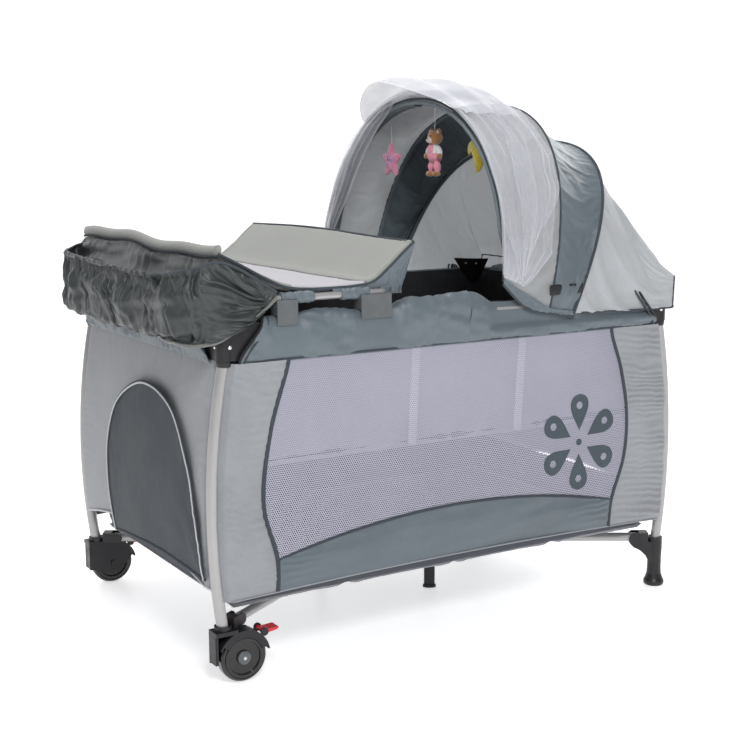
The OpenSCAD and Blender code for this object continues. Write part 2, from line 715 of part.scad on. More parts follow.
module toy_moon() color([0.95, 0.85, 0.25]) hung(0) {
  toy_strap(52);
  translate([-8, 0, -84]) rotate([90, 0, 90]) linear_extrude(16) difference() {
    circle(36);
    translate([17, 4]) circle(29);
  }
}

module toy_bear() color([0.62, 0.38, 0.18]) hung(1) {
  toy_strap(60);
  translate([0, 0, -78]) scale([0.8, 1, 1]) sphere(22);
  translate([0, 0, -121]) scale([0.7, 0.9, 1]) sphere(27);
  for (s = [-1, 1]) translate([0, s * 12, -175]) cylinder(r = 9, h = 42);
  for (s = [-1, 1]) translate([-4, s * 22, -131]) rotate([s * 30, 0, 0]) cylinder(r = 7, h = 30);
}

module toy_star() color([0.95, 0.55, 0.68]) hung(2) {
  toy_strap(66);
  translate([-8, 0, -94]) rotate([90, 0, 90]) linear_extrude(16)
    polygon([for (i = [0:9]) (i % 2 == 0 ? 36 : 17) * [sin(36 * i), cos(36 * i)]]);
}

// ---------- Nodes ----------

hub_housing();
base_tube(-1, -1);  // base_tube_near_left
base_tube(-1, 1);  // base_tube_far_left
base_tube(1, -1);  // base_tube_near_right
base_tube(1, 1);  // base_tube_far_right
centre_foot(1, -1);  // centre_foot_near
centre_foot(-1, 1);  // centre_foot_far
post(-1, -1);  // post_near_left
post(-1, 1);  // post_far_left
post(1, -1);  // post_near_right
post(1, 1);  // post_far_right
bracket(-1, -1);  // bracket_near_left
bracket(-1, 1);  // bracket_far_left
bracket(1, -1);  // bracket_near_right
bracket(1, 1);  // bracket_far_right
caster_housing(-1, -1);  // caster_housing_near
caster_housing(-1, 1);  // caster_housing_far
corner_foot(1, -1);  // foot_near
corner_foot(1, 1);  // foot_far
wheel(-1, -1);  // wheel_near
wheel(-1, 1);  // wheel_far
brake_pedal(-1, -1);  // brake_pedal_near
brake_pedal(-1, 1);  // brake_pedal_far
half_rail(0, -1);  // rail_near_left
half_rail(0, 1);  // rail_near_right
half_rail(1, -1);  // rail_far_left
half_rail(1, 1);  // rail_far_right
half_rail(2, -1);  // rail_left_near
half_rail(2, 1);  // rail_left_far
half_rail(3, -1);  // rail_right_near
half_rail(3, 1);  // rail_right_far
rail_lock(0);  // lock_near
rail_lock(1);  // lock_far
rail_lock(2);  // lock_left
rail_lock(3);  // lock_right
lock_button(0);  // button_near
lock_button(1);  // button_far
lock_button(2);  // button_left
lock_button(3);  // button_right
long_side(-1);  // near_side
long_side(1);  // far_side
end_side(-1);  // left_end
end_side(1);  // right_end
mattress();
bassinet();
changer_frame();
changer_clips();
changer_pad();
organiser_pocket();
canopy_mounts();
hoop_front();
hoop_mid();
hoop_rear();
canopy_front();
canopy_mid();
canopy_rear();
net();
toy_star();
toy_bear();
toy_moon();
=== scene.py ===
"""Travel play yard: cloth, net, pads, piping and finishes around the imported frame. Units are metres."""
import json
import math

import bpy
import numpy as np
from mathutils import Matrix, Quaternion, Vector, noise


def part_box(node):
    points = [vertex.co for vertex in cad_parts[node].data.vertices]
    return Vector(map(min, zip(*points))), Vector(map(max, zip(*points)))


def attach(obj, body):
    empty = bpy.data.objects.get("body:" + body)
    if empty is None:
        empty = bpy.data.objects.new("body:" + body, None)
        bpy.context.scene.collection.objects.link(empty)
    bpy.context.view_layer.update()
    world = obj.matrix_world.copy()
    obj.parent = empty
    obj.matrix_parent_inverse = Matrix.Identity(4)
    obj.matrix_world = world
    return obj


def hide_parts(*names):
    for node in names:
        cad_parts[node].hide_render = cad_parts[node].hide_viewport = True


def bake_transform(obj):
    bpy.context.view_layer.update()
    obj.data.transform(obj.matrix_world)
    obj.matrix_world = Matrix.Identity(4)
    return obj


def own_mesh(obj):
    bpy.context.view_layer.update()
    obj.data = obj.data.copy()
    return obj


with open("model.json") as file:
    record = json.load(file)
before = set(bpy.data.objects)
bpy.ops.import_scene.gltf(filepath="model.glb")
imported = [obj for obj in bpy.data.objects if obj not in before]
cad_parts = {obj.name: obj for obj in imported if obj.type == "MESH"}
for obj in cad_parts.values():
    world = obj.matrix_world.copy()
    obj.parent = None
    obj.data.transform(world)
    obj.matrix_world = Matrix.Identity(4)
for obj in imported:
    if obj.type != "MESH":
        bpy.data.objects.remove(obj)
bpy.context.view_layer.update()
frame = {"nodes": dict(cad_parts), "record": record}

# ---------- Driving dimensions, as in the CAD ----------

POST_Y = 0.383
FOOT_X = 0.612
TOP_X = 0.596
POST_LOW, POST_HIGH = 0.118, 0.690
POST_BOW = 0.026
WALL_Y = POST_Y + 0.0175
COVER_LOW, COVER_TOP = 0.672, 0.775
LONG_PIVOT = TOP_X - 0.052
SHORT_PIVOT = POST_Y - 0.043
CANOPY_Y = 0.4046
FRONT_ARCH = (0.096, 0.815, 0.422, 4.0, 2.07)
MID_ARCH = (0.232, 0.740, 0.493, 11.6, 2.6)
REAR_ARCH = (0.305, 0.728, 0.442, 24.0, 3.0)
FOLD_KEEP = 0.33
CHANGER_Z = 0.810
PAD_Y = 0.391

# The post's arc in the XZ plane
_rise = POST_HIGH - POST_LOW
_lean = math.atan((FOOT_X - TOP_X) / _rise)
_chord = _rise / math.cos(_lean)
ARC_R = (_chord ** 2 / 4 + POST_BOW ** 2) / (2 * POST_BOW)
ARC_X = (FOOT_X + TOP_X) / 2 - (ARC_R - POST_BOW) * math.cos(_lean)
ARC_Z = (POST_HIGH + POST_LOW) / 2 - (ARC_R - POST_BOW) * math.sin(_lean)


def post_x(z):
    return ARC_X + math.sqrt(ARC_R ** 2 - (z - ARC_Z) ** 2)


# ---------- Small maths ----------

def lerp(a, b, t):
    return a + (b - a) * t


def ease(t):
    t = min(1.0, max(0.0, t))
    return t * t * (3 - 2 * t)


def wave(x, y, z=0.0, octaves=2):
    """Smooth noise between about -1 and 1."""
    return noise.fractal(Vector((x, y, z)), 0.8, 2.0, octaves)


def spline(points, t):
    """Catmull-Rom curve through points of any size, for t from 0 to 1."""
    n = len(points) - 1
    x = min(max(t, 0.0), 1.0) * n
    i = min(int(x), n - 1)
    f = x - i
    p = [np.array(points[min(max(i + k, 0), n)], float) for k in (-1, 0, 1, 2)]
    a = 2 * p[1]
    b = p[2] - p[0]
    c = 2 * p[0] - 5 * p[1] + 4 * p[2] - p[3]
    d = 3 * p[1] - p[0] - 3 * p[2] + p[3]
    return 0.5 * (a + b * f + c * f * f + d * f ** 3)


def gathers(along, away, pitch, reach, seed):
    """Height of the short creases that a gathered seam sends into the cloth, from 0 to about 1."""
    drift = 1.6 * wave(along * 9, seed, 0.0)
    ridge = (0.5 + 0.5 * math.cos(2 * math.pi * (along / pitch + drift
                                                 + 0.35 * wave(away * 20, along * 14, seed))))
    strength = 0.55 + 0.75 * wave(along * 13, seed + 7.0, away * 4)
    return max(0.0, strength) * ridge * math.exp(-away / reach)


# ---------- Meshes ----------

def add_object(name, verts, faces, material, body=None, smooth=True):
    mesh = bpy.data.meshes.new(name)
    mesh.from_pydata([tuple(v) for v in verts], [], faces)
    mesh.polygons.foreach_set("use_smooth", [smooth] * len(mesh.polygons))
    mesh.materials.append(material)
    mesh.update()
    obj = bpy.data.objects.new(name, mesh)
    bpy.context.scene.collection.objects.link(obj)
    if body:
        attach(obj, body)
    return obj


def bake(obj):
    """Turns the modifiers into mesh."""
    bpy.context.view_layer.update()
    graph = bpy.context.evaluated_depsgraph_get()
    mesh = bpy.data.meshes.new_from_object(obj.evaluated_get(graph))
    obj.modifiers.clear()
    old = obj.data
    obj.data = mesh
    bpy.data.meshes.remove(old)
    return obj


def piping(name, path, normal, width, height, material, body=None, sides=10, closed=False, lift=0.0):
    """A bead or binding of oval section along a path. normal is a vector, or a function of the path's
    index."""
    path = [np.array(p, float) for p in path]
    last = len(path) - 1
    verts = []
    for i, p in enumerate(path):
        a = path[i - 1] if (i > 0 or closed) else p
        b = path[(i + 1) % len(path)] if (i < last or closed) else p
        along = (b - a) / np.linalg.norm(b - a)
        n = np.array(normal(i) if callable(normal) else normal, float)
        n = n - along * n.dot(along)
        n /= np.linalg.norm(n)
        side = np.cross(along, n)
        for k in range(sides):
            turn = 2 * math.pi * k / sides
            verts.append(p + n * (lift + height / 2 * math.sin(turn)) + side * width / 2 * math.cos(turn))
    faces = []
    for i in range(len(path) if closed else last):
        for k in range(sides):
            m = (k + 1) % sides
            j = (i + 1) % len(path)
            faces.append((i * sides + k, j * sides + k, j * sides + m, i * sides + m))
    if not closed:
        faces.append(tuple(range(sides)))
        faces.append(tuple(last * sides + k for k in reversed(range(sides))))
    return add_object(name, verts, faces, material, body)


def lathe(name, centre, axis, profile, material, body, steps=40):
    """A turned piece: profile is a list of (radius, distance along the axis)."""
    axis = Vector(axis).normalized()
    u = axis.orthogonal().normalized()
    v = axis.cross(u)
    verts = []
    for r, h in profile:
        for k in range(steps):
            turn = 2 * math.pi * k / steps
            verts.append(Vector(centre) + axis * h + (u * math.cos(turn) + v * math.sin(turn)) * r)
    faces = []
    for i in range(len(profile) - 1):
        for k in range(steps):
            m = (k + 1) % steps
            faces.append((i * steps + k, i * steps + m, (i + 1) * steps + m, (i + 1) * steps + k))
    faces.append(tuple(reversed(range(steps))))
    faces.append(tuple((len(profile) - 1) * steps + k for k in range(steps)))
    obj = add_object(name, verts, faces, material, body)
    obj.data.shade_flat()
    edge = obj.modifiers.new("edge", "BEVEL")
    edge.width = 0.0004
    edge.segments = 2
    edge.limit_method = "ANGLE"
    bake(obj)
    obj.data.polygons.foreach_set("use_smooth", [True] * len(obj.data.polygons))
    return obj


def rivet(name, centre, axis, radius, body, material):
    """A domed rivet head standing on a face."""
    r = radius
    return lathe(name, centre, axis, [(r, -0.3 * r), (r, 0.1 * r), (0.85 * r, 0.32 * r), (0.5 * r, 0.5 * r),
                                      (0.1 * r, 0.56 * r)], material, body, 20)


def settle(obj, pinned, frames=12, pressure=0.0, gravity=0.3, stiffness=12.0, cap=0.010, shrink=0.0,
           bend=0.4):
    """Runs a cloth simulation on obj and keeps its result. pinned holds the points that are sewn down."""
    scene = bpy.context.scene
    rest = np.array([v.co for v in obj.data.vertices], float)
    group = obj.vertex_groups.new(name="pinned")
    group.add([int(i) for i in pinned], 1.0, "REPLACE")
    cloth = obj.modifiers.new("cloth", "CLOTH")
    set_ = cloth.settings
    set_.quality = 6
    set_.mass = 0.15
    set_.tension_stiffness = stiffness
    set_.compression_stiffness = stiffness
    set_.shear_stiffness = stiffness * 0.4
    set_.bending_stiffness = bend
    set_.tension_damping = 8
    set_.air_damping = 3
    set_.vertex_group_mass = "pinned"
    set_.shrink_min = shrink
    set_.effector_weights.gravity = gravity
    if pressure:
        set_.use_pressure = True
        set_.uniform_pressure_force = pressure
    cloth.collision_settings.use_collision = False
    cloth.collision_settings.use_self_collision = False
    cloth.point_cache.frame_start = 1
    cloth.point_cache.frame_end = frames
    for number in range(1, frames + 1):
        scene.frame_set(number)
    bpy.context.view_layer.update()
    result = obj.evaluated_get(bpy.context.evaluated_depsgraph_get())
    moved = np.array([v.co for v in result.data.vertices], float)
    obj.modifiers.clear()
    obj.vertex_groups.clear()
    scene.frame_set(1)
    step = moved - rest
    size = np.linalg.norm(step, axis=1, keepdims=True)
    step *= np.minimum(1.0, cap / np.maximum(size, 1e-9))
    obj.data.vertices.foreach_set("co", (rest + step).ravel())
    obj.data.update()
    return obj


# ---------- Materials ----------

class Nodes:
    """Short way to write a material's nodes."""

    def __init__(self, name, colour, roughness, metallic=0.0, sheen=0.0, specular=0.5):
        self.material = bpy.data.materials.new(name)
        self.material.use_nodes = True
        self.tree = self.material.node_tree
        self.shader = self.tree.nodes["Principled BSDF"]
        self.shader.inputs["Base Color"].default_value = (*colour, 1)
        self.shader.inputs["Roughness"].default_value = roughness
        self.shader.inputs["Metallic"].default_value = metallic
        self.shader.inputs["Sheen Weight"].default_value = sheen
        self.shader.inputs["Sheen Roughness"].default_value = 0.6
        self.shader.inputs["Specular IOR Level"].default_value = specular
        self.place = self.add("ShaderNodeTexCoord").outputs["Object"]

    def add(self, kind, **values):
        node = self.tree.nodes.new(kind)
        for key, value in values.items():
            setattr(node, key, value)
        return node

    def link(self, a, b):
        self.tree.links.new(a, b)

    def math(self, operation, a, b=None, c=None):
        node = self.add("ShaderNodeMath", operation=operation)
        for i, value in enumerate((a, b, c)):
            if value is None:
                continue
            if isinstance(value, (int, float)):
                node.inputs[i].default_value = value
            else:
                self.link(value, node.inputs[i])
        return node.outputs[0]

    def noise(self, scale, detail=3.0, roughness=0.5, place=None):
        node = self.add("ShaderNodeTexNoise")
        node.inputs["Scale"].default_value = scale
        node.inputs["Detail"].default_value = detail
        node.inputs["Roughness"].default_value = roughness
        self.link(place or self.place, node.inputs["Vector"])
        return node.outputs["Fac"]

    def spread(self, value, low, high, out_low=0.0, out_high=1.0):
        node = self.add("ShaderNodeMapRange")
        node.inputs["From Min"].default_value = low
        node.inputs["From Max"].default_value = high
        node.inputs["To Min"].default_value = out_low
        node.inputs["To Max"].default_value = out_high
        self.link(value, node.inputs["Value"])
        return node.outputs["Result"]

    def mix(self, factor, a, b):
        node = self.add("ShaderNodeMix", data_type="RGBA")
        if isinstance(factor, (int, float)):
            node.inputs["Factor"].default_value = factor
        else:
            self.link(factor, node.inputs["Factor"])
        for socket, value in ((6, a), (7, b)):
            if isinstance(value, tuple):
                node.inputs[socket].default_value = (*value[:3], 1)
            else:
                self.link(value, node.inputs[socket])
        return node.outputs[2]

    def bump(self, height, strength, distance, under=None):
        node = self.add("ShaderNodeBump")
        node.inputs["Strength"].default_value = strength
        node.inputs["Distance"].default_value = distance
        self.link(height, node.inputs["Height"])
        if under:
            self.link(under, node.inputs["Normal"])
        return node.outputs["Normal"]

    def axes(self):
        node = self.add("ShaderNodeSeparateXYZ")
        self.link(self.place, node.inputs[0])
        return node.outputs

    def colour(self, socket):
        self.link(socket, self.shader.inputs["Base Color"])

    def rough(self, socket):
        self.link(socket, self.shader.inputs["Roughness"])

    def normal(self, socket):
        self.link(socket, self.shader.inputs["Normal"])


def darker(colour, share):
    return tuple(c * share for c in colour)


def woven(name, colour, roughness=0.72, sheen=0.25, thread=0.0011, fold=0.0016, shine=0.35, contrast=0.10,
          thin=0.0):
    """Woven polyester: crossed threads, soft creases and slight changes of tone."""
    m = Nodes(name, colour, roughness, sheen=sheen, specular=shine)
    tone = m.noise(7.0, 4.0)
    fine = m.noise(90.0, 2.0)
    tone = m.math("MULTIPLY_ADD", fine, 0.35, tone)
    m.colour(m.mix(m.spread(tone, 0.45, 0.9), darker(colour, 1 - contrast),
                   darker(colour, 1 + contrast * 0.6)))
    x, y, z = m.axes()
    turn = 2 * math.pi / thread
    flat = m.math("ADD", x, y)
    warp = m.math("ABSOLUTE", m.math("SINE", m.math("MULTIPLY", flat, turn / 2)))
    weft = m.math("ABSOLUTE", m.math("SINE", m.math("MULTIPLY", z, turn / 2)))
    weave = m.math("MULTIPLY", warp, weft)
    creases = m.noise(16.0, 5.0, 0.55)
    base = m.bump(creases, 0.35, fold * 4)
    m.normal(m.bump(weave, 0.5, 0.00018, base))
    m.rough(m.spread(tone, 0.3, 1.0, roughness - 0.06, roughness + 0.08))
    if thin:
        through = m.add("ShaderNodeBsdfTranslucent")
        through.inputs["Color"].default_value = (*colour, 1)
        blend = m.add("ShaderNodeMixShader")
        blend.inputs["Fac"].default_value = thin
        m.link(m.shader.outputs[0], blend.inputs[1])
        m.link(through.outputs[0], blend.inputs[2])
        m.link(blend.outputs[0], m.tree.nodes["Material Output"].inputs["Surface"])
    return m.material


def open_mesh(name, colour, pitch=0.0052, hole=0.300):
    """Knitted mesh with a hexagonal field of small holes cut through by transparency."""
    m = Nodes(name, colour, 0.65, sheen=0.2, specular=0.3)
    x, y, z = m.axes()
    flat = m.math("ADD", x, m.math("MULTIPLY", y, 1.0))
    row = m.math("DIVIDE", z, pitch * math.sqrt(3) / 2 * 2)
    column = m.math("DIVIDE", flat, pitch)

    def lattice(shift):
        a = m.math("SUBTRACT", m.math("FRACT", m.math("ADD", column, shift)), 0.5)
        b = m.math("SUBTRACT", m.math("FRACT", m.math("ADD", row, shift)), 0.5)
        b = m.math("MULTIPLY", b, math.sqrt(3))
        return m.math("SQRT", m.math("ADD", m.math("MULTIPLY", a, a), m.math("MULTIPLY", b, b)))

    distance = m.math("MINIMUM", lattice(0.0), lattice(0.5))
    solid = m.spread(distance, hole - 0.05, hole + 0.05)
    m.link(solid, m.shader.inputs["Alpha"])
    tone = m.noise(6.0, 3.0)
    m.colour(m.mix(m.spread(tone, 0.3, 0.8), darker(colour, 0.94), colour))
    m.normal(m.bump(distance, 0.6, 0.0005))
    return m.material


def tulle(name, colour, cover=0.2):
    """Fine insect net: mostly see-through, denser along the folds (the "dense" attribute of its points)."""
    m = Nodes(name, colour, 0.7, sheen=0.3, specular=0.2)
    fold = m.add("ShaderNodeAttribute")
    fold.attribute_name = "dense"
    streak = m.noise(30.0, 3.0)
    value = m.math("MULTIPLY_ADD", m.spread(streak, 0.3, 0.7), 0.06,
                   m.math("MULTIPLY", fold.outputs["Fac"], 0.42))
    m.link(m.math("ADD", value, cover), m.shader.inputs["Alpha"])
    return m.material


def plush(name, colour):
    """Short pile: clumps of tone and a fuzzy rim."""
    m = Nodes(name, colour, 0.9, sheen=0.8, specular=0.15)
    tuft = m.noise(260.0, 3.0, 0.7)
    clump = m.noise(60.0, 3.0)
    tone = m.math("MULTIPLY_ADD", clump, 0.6, tuft)
    m.colour(m.mix(m.spread(tone, 0.55, 1.05), darker(colour, 0.65), darker(colour, 1.15)))
    m.normal(m.bump(tuft, 0.8, 0.0015))
    return m.material


def tube_paint():
    """Silver powder coat with fine orange peel and a few rubbed marks."""
    colour = (0.42, 0.415, 0.415)
    m = Nodes("silver_powder_coat", colour, 0.34, metallic=0.45, specular=0.5)
    rub = m.noise(35.0, 6.0, 0.7)
    m.colour(m.mix(m.spread(rub, 0.62, 0.75), colour, darker(colour, 0.86)))
    m.rough(m.spread(m.noise(12.0, 3.0), 0.3, 0.7, 0.28, 0.40))
    m.normal(m.bump(m.noise(900.0, 2.0), 0.12, 0.0002))
    return m.material


def moulded(name, colour, roughness=0.42, grain=0.0003, coat=0.0):
    """Moulded plastic: fine spark-eroded grain, and random patches a little paler with wear."""
    m = Nodes(name, colour, roughness, specular=0.45)
    patch = m.noise(28.0, 4.0, 0.6)
    m.colour(m.mix(m.spread(patch, 0.45, 0.8), colour, tuple(c * 1.25 + 0.004 for c in colour)))
    m.rough(m.spread(m.noise(60.0, 4.0), 0.3, 0.7, roughness - 0.07, roughness + 0.09))
    m.normal(m.bump(m.noise(1400.0, 2.0), 0.25, grain))
    if coat:
        m.shader.inputs["Coat Weight"].default_value = coat
    return m.material


def plated(name, colour=(0.75, 0.74, 0.72), roughness=0.25):
    m = Nodes(name, colour, roughness, metallic=1.0)
    m.rough(m.spread(m.noise(300.0, 3.0), 0.3, 0.7, roughness - 0.08, roughness + 0.15))
    m.normal(m.bump(m.noise(700.0, 2.0), 0.2, 0.0002))
    return m.material


SILVER = tube_paint()
BLACK = moulded("black_plastic", (0.012, 0.012, 0.014))
BLACK_GLOSS = moulded("wheel_black", (0.010, 0.010, 0.011), 0.22, 0.0001, 0.3)
GREY_PLASTIC = moulded("grey_plastic", (0.105, 0.115, 0.12), 0.35)
RED = moulded("brake_red", (0.62, 0.012, 0.022), 0.24, 0.0001, 0.4)
RIVET = plated("rivet_steel")
LIGHT = woven("light_grey_cloth", (0.290, 0.303, 0.322), 0.50, 0.1, shine=0.45, fold=0.0022)
# Painted light: the rear panel and valance get a lighter copy of the canopy cloth, standing in for the light
# that falls on the rear.
REAR_CLOTH_PAINTED_LIT = woven("canopy_rear_cloth_painted_lit", (0.56, 0.58, 0.60), 0.55, 0.1, thin=0.25)
LIGHT_CANOPY = woven("canopy_light_cloth", (0.40, 0.415, 0.425), 0.55, 0.3, thin=0.30)
SLATE = woven("slate_cloth", (0.118, 0.148, 0.168), 0.40, 0.05, shine=0.5, fold=0.0022)
DOOR_CLOTH = woven("door_cloth", (0.040, 0.050, 0.060), 0.55, 0.02, shine=0.25)
BINDING = woven("binding_tape", (0.050, 0.062, 0.074), 0.7, 0.02, thread=0.0016, shine=0.25)
DARK = woven("lining_black", (0.012, 0.013, 0.017), 0.8, 0.15, contrast=0.2)
POCKET = woven("pocket_nylon", (0.042, 0.049, 0.049), 0.36, 0.0, shine=0.5, thread=0.0008, fold=0.0024)
PAD_GREY = woven("pad_grey_beige", (0.265, 0.272, 0.252), 0.60, 0.2, contrast=0.05, fold=0.0008)
PAD_WHITE = woven("pad_white", (0.43, 0.42, 0.455), 0.6, 0.2, contrast=0.04, fold=0.0008)
TUB_CLOTH = woven("tub_white_cloth", (0.36, 0.37, 0.45), 0.50, 0.05, contrast=0.20, fold=0.0050)
MATTRESS = woven("mattress_cloth", (0.20, 0.21, 0.23), 0.7, 0.2)
MESH = open_mesh("white_mesh", (0.46, 0.455, 0.55))
TRAY = woven("tray_cloth", (0.060, 0.066, 0.085), 0.6, 0.02)
PRINT = woven("flower_print", (0.070, 0.088, 0.105), 0.7, 0.02, shine=0.25)
TAPE = woven("white_tape", (0.86, 0.85, 0.92), 0.7, 0.2)
PALE_PIPING = woven("pale_piping", (0.52, 0.53, 0.55), 0.6, 0.3)
POCKET_RELAX = dict(shrink=-0.03, cap=0.008, gravity=0.5)
POCKET_EDGE = woven("pocket_edge", (0.15, 0.162, 0.148), 0.6, 0.3, thread=0.0018)
NET = tulle("net_white", (0.66, 0.67, 0.72), 0.26)
STAR_PLUSH = plush("star_plush", (0.80, 0.25, 0.42))
BEAR_PLUSH = plush("bear_plush", (0.42, 0.17, 0.045))
BEAR_PALE = plush("bear_muzzle", (0.75, 0.66, 0.58))
PINK_CLOTH = woven("pink_cloth", (0.82, 0.30, 0.40), 0.8, 0.4)
WHITE_CLOTH = woven("white_cloth", (0.80, 0.79, 0.80), 0.8, 0.3)
BLUE_CLOTH = woven("blue_cloth", (0.20, 0.28, 0.75), 0.8, 0.4)
PURPLE_CLOTH = woven("purple_cloth", (0.45, 0.22, 0.70), 0.8, 0.4)
YELLOW_PLUSH = plush("moon_plush", (0.85, 0.66, 0.02))
EYE = moulded("bead_black", (0.01, 0.01, 0.01), 0.1)


def finish_frame():
    """Gives each carried-over CAD node its material."""
    by_slot = {"steel_tube": SILVER, "black_plastic": BLACK, "grey_plastic": GREY_PLASTIC,
               "wheel_plastic": BLACK_GLOSS, "brake_red": RED}
    for part in frame["record"]["subparts"]:
        material = by_slot.get(part["material_slot"])
        if part["node"].startswith("hoop_"):
            material = SLATE
        if material:
            mesh = frame["nodes"][part["node"]].data
            mesh.materials.clear()
            mesh.materials.append(material)


# ---------- Sheets on a grid ----------

def outward_of(grid, sign):
    """Unit normals of a grid of points."""
    du = np.gradient(grid, axis=0)
    dv = np.gradient(grid, axis=1)
    n = np.cross(du, dv) * sign
    return n / np.maximum(np.linalg.norm(n, axis=2, keepdims=True), 1e-12)


def follow(obj, how):
    """how is a body's name, to attach to; (body, body, start, end) for cloth across a joint, which is only
    baked in place; or (body, axis, anchor, keep), which is attached to the first body with a mesh of its own."""
    if isinstance(how, str):
        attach(obj, how)
    elif isinstance(how[1], str):
        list(how)
        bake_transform(obj)
    else:
        body, axis, anchor, keep = how
        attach(obj, body)
        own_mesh(obj)
        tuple(axis)
        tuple(anchor)
    return obj


def cloth_sheet(name, base, height, nu, nv, material, how, outward=1, relax=None,
                declare=True):
    """A sheet of cloth: base(u, v) is the surface it was cut for, and height(u, v) its folds, out along
    the normal.
    outward is 1 or -1 for the side of the grid that faces out, or a fixed direction."""
    grid = np.array([[base(i / nu, j / nv) for j in range(nv + 1)] for i in range(nu + 1)], float)
    if isinstance(outward, (int, float)):
        out = outward_of(grid, outward)
    else:
        out = np.broadcast_to(np.array(outward, float), grid.shape)
    tall = np.array([[height(i / nu, j / nv) for j in range(nv + 1)] for i in range(nu + 1)])
    moved = grid + out * tall[:, :, None]
    faces_out = np.cross(grid[1, 0] - grid[0, 0], grid[0, 1] - grid[0, 0]).dot(out[0, 0]) > 0
    verts = moved.reshape(-1, 3)
    w = nv + 1
    faces = []
    for i in range(nu):
        for j in range(nv):
            face = (i * w + j, (i + 1) * w + j, (i + 1) * w + j + 1, i * w + j + 1)
            faces.append(face if faces_out else face[::-1])
    obj = add_object(name, verts, faces, material)
    if relax:
        rim = [i * w + j for i in range(nu + 1) for j in range(w) if i in (0, nu) or j in (0, nv)]
        settle(obj, rim, **relax)
    follow(obj, how)
    if declare:
        after = np.array([v.co for v in obj.data.vertices], float).reshape(moved.shape)
    return obj


def edge_x(points, z):
    """x of a side curve, given as (x, z) points with z rising, at height z."""
    ts = np.linspace(0, 1, 60)
    p = np.array([spline(points, t) for t in ts])
    return float(np.interp(z, p[:, 1], p[:, 0]))


def curve_at(points):
    """A side curve as a function of z, sampled once."""
    zs = np.linspace(0.15, 0.70, 111)
    xs = [edge_x(points, z) for z in zs]
    return lambda z: float(np.interp(z, zs, xs))


def panel(left, right, low, high):
    """(u, v) to (x, z) in a panel between two side curves, a hem and a top edge."""
    def at(u, v):
        z = lerp(low(0), high(0), v)
        x = 0.0
        for _ in range(4):
            x = lerp(left(z), right(z), u)
            z = lerp(low(x), high(x), v)
        return x, z
    return at


# ---------- Long sides ----------

HEM_Z = 0.180
BAND_MIDDLE = -0.025
WINDOW_LEFT = curve_at([(-0.492, 0.16), (-0.490, 0.257), (-0.521, 0.379), (-0.503, 0.530), (-0.461, 0.666),
                        (-0.456, 0.70)])
WINDOW_RIGHT = curve_at([(0.434, 0.16), (0.442, 0.252), (0.479, 0.36), (0.484, 0.47), (0.462, 0.58),
                         (0.432, 0.662), (0.426, 0.70)])


def band_top(x):
    return 0.252 + 0.058 * (1 - ((x - BAND_MIDDLE) / 0.470) ** 2)


def post_edge(z):
    return post_x(z) - 0.0075


def hem(x):
    return HEM_Z + 0.012 * (1 - (x / 0.6) ** 2)


def cover_edge(x):
    return 0.684


FLOWER = (0.335, 0.412)


def petal(turn):
    """Outline and hole of one petal, as matching lists of (x, z) about the flower's middle."""
    outline, hole = [], []
    steps = 40
    for k in range(steps):
        phi = 2 * math.pi * k / steps
        reach = 0.0730 - 0.0450 * math.cos(phi)
        side = 0.0390 * math.sin(phi) * abs(math.sin(phi / 2)) ** 1.5
        outline.append((reach, side))
        hole.append((0.0905 - 0.0092 * math.cos(phi), 0.0092 * math.sin(phi)))
    c, s = math.cos(turn), math.sin(turn)
    return [[(r * c - q * s, r * s + q * c) for r, q in ring] for ring in (outline, hole)]


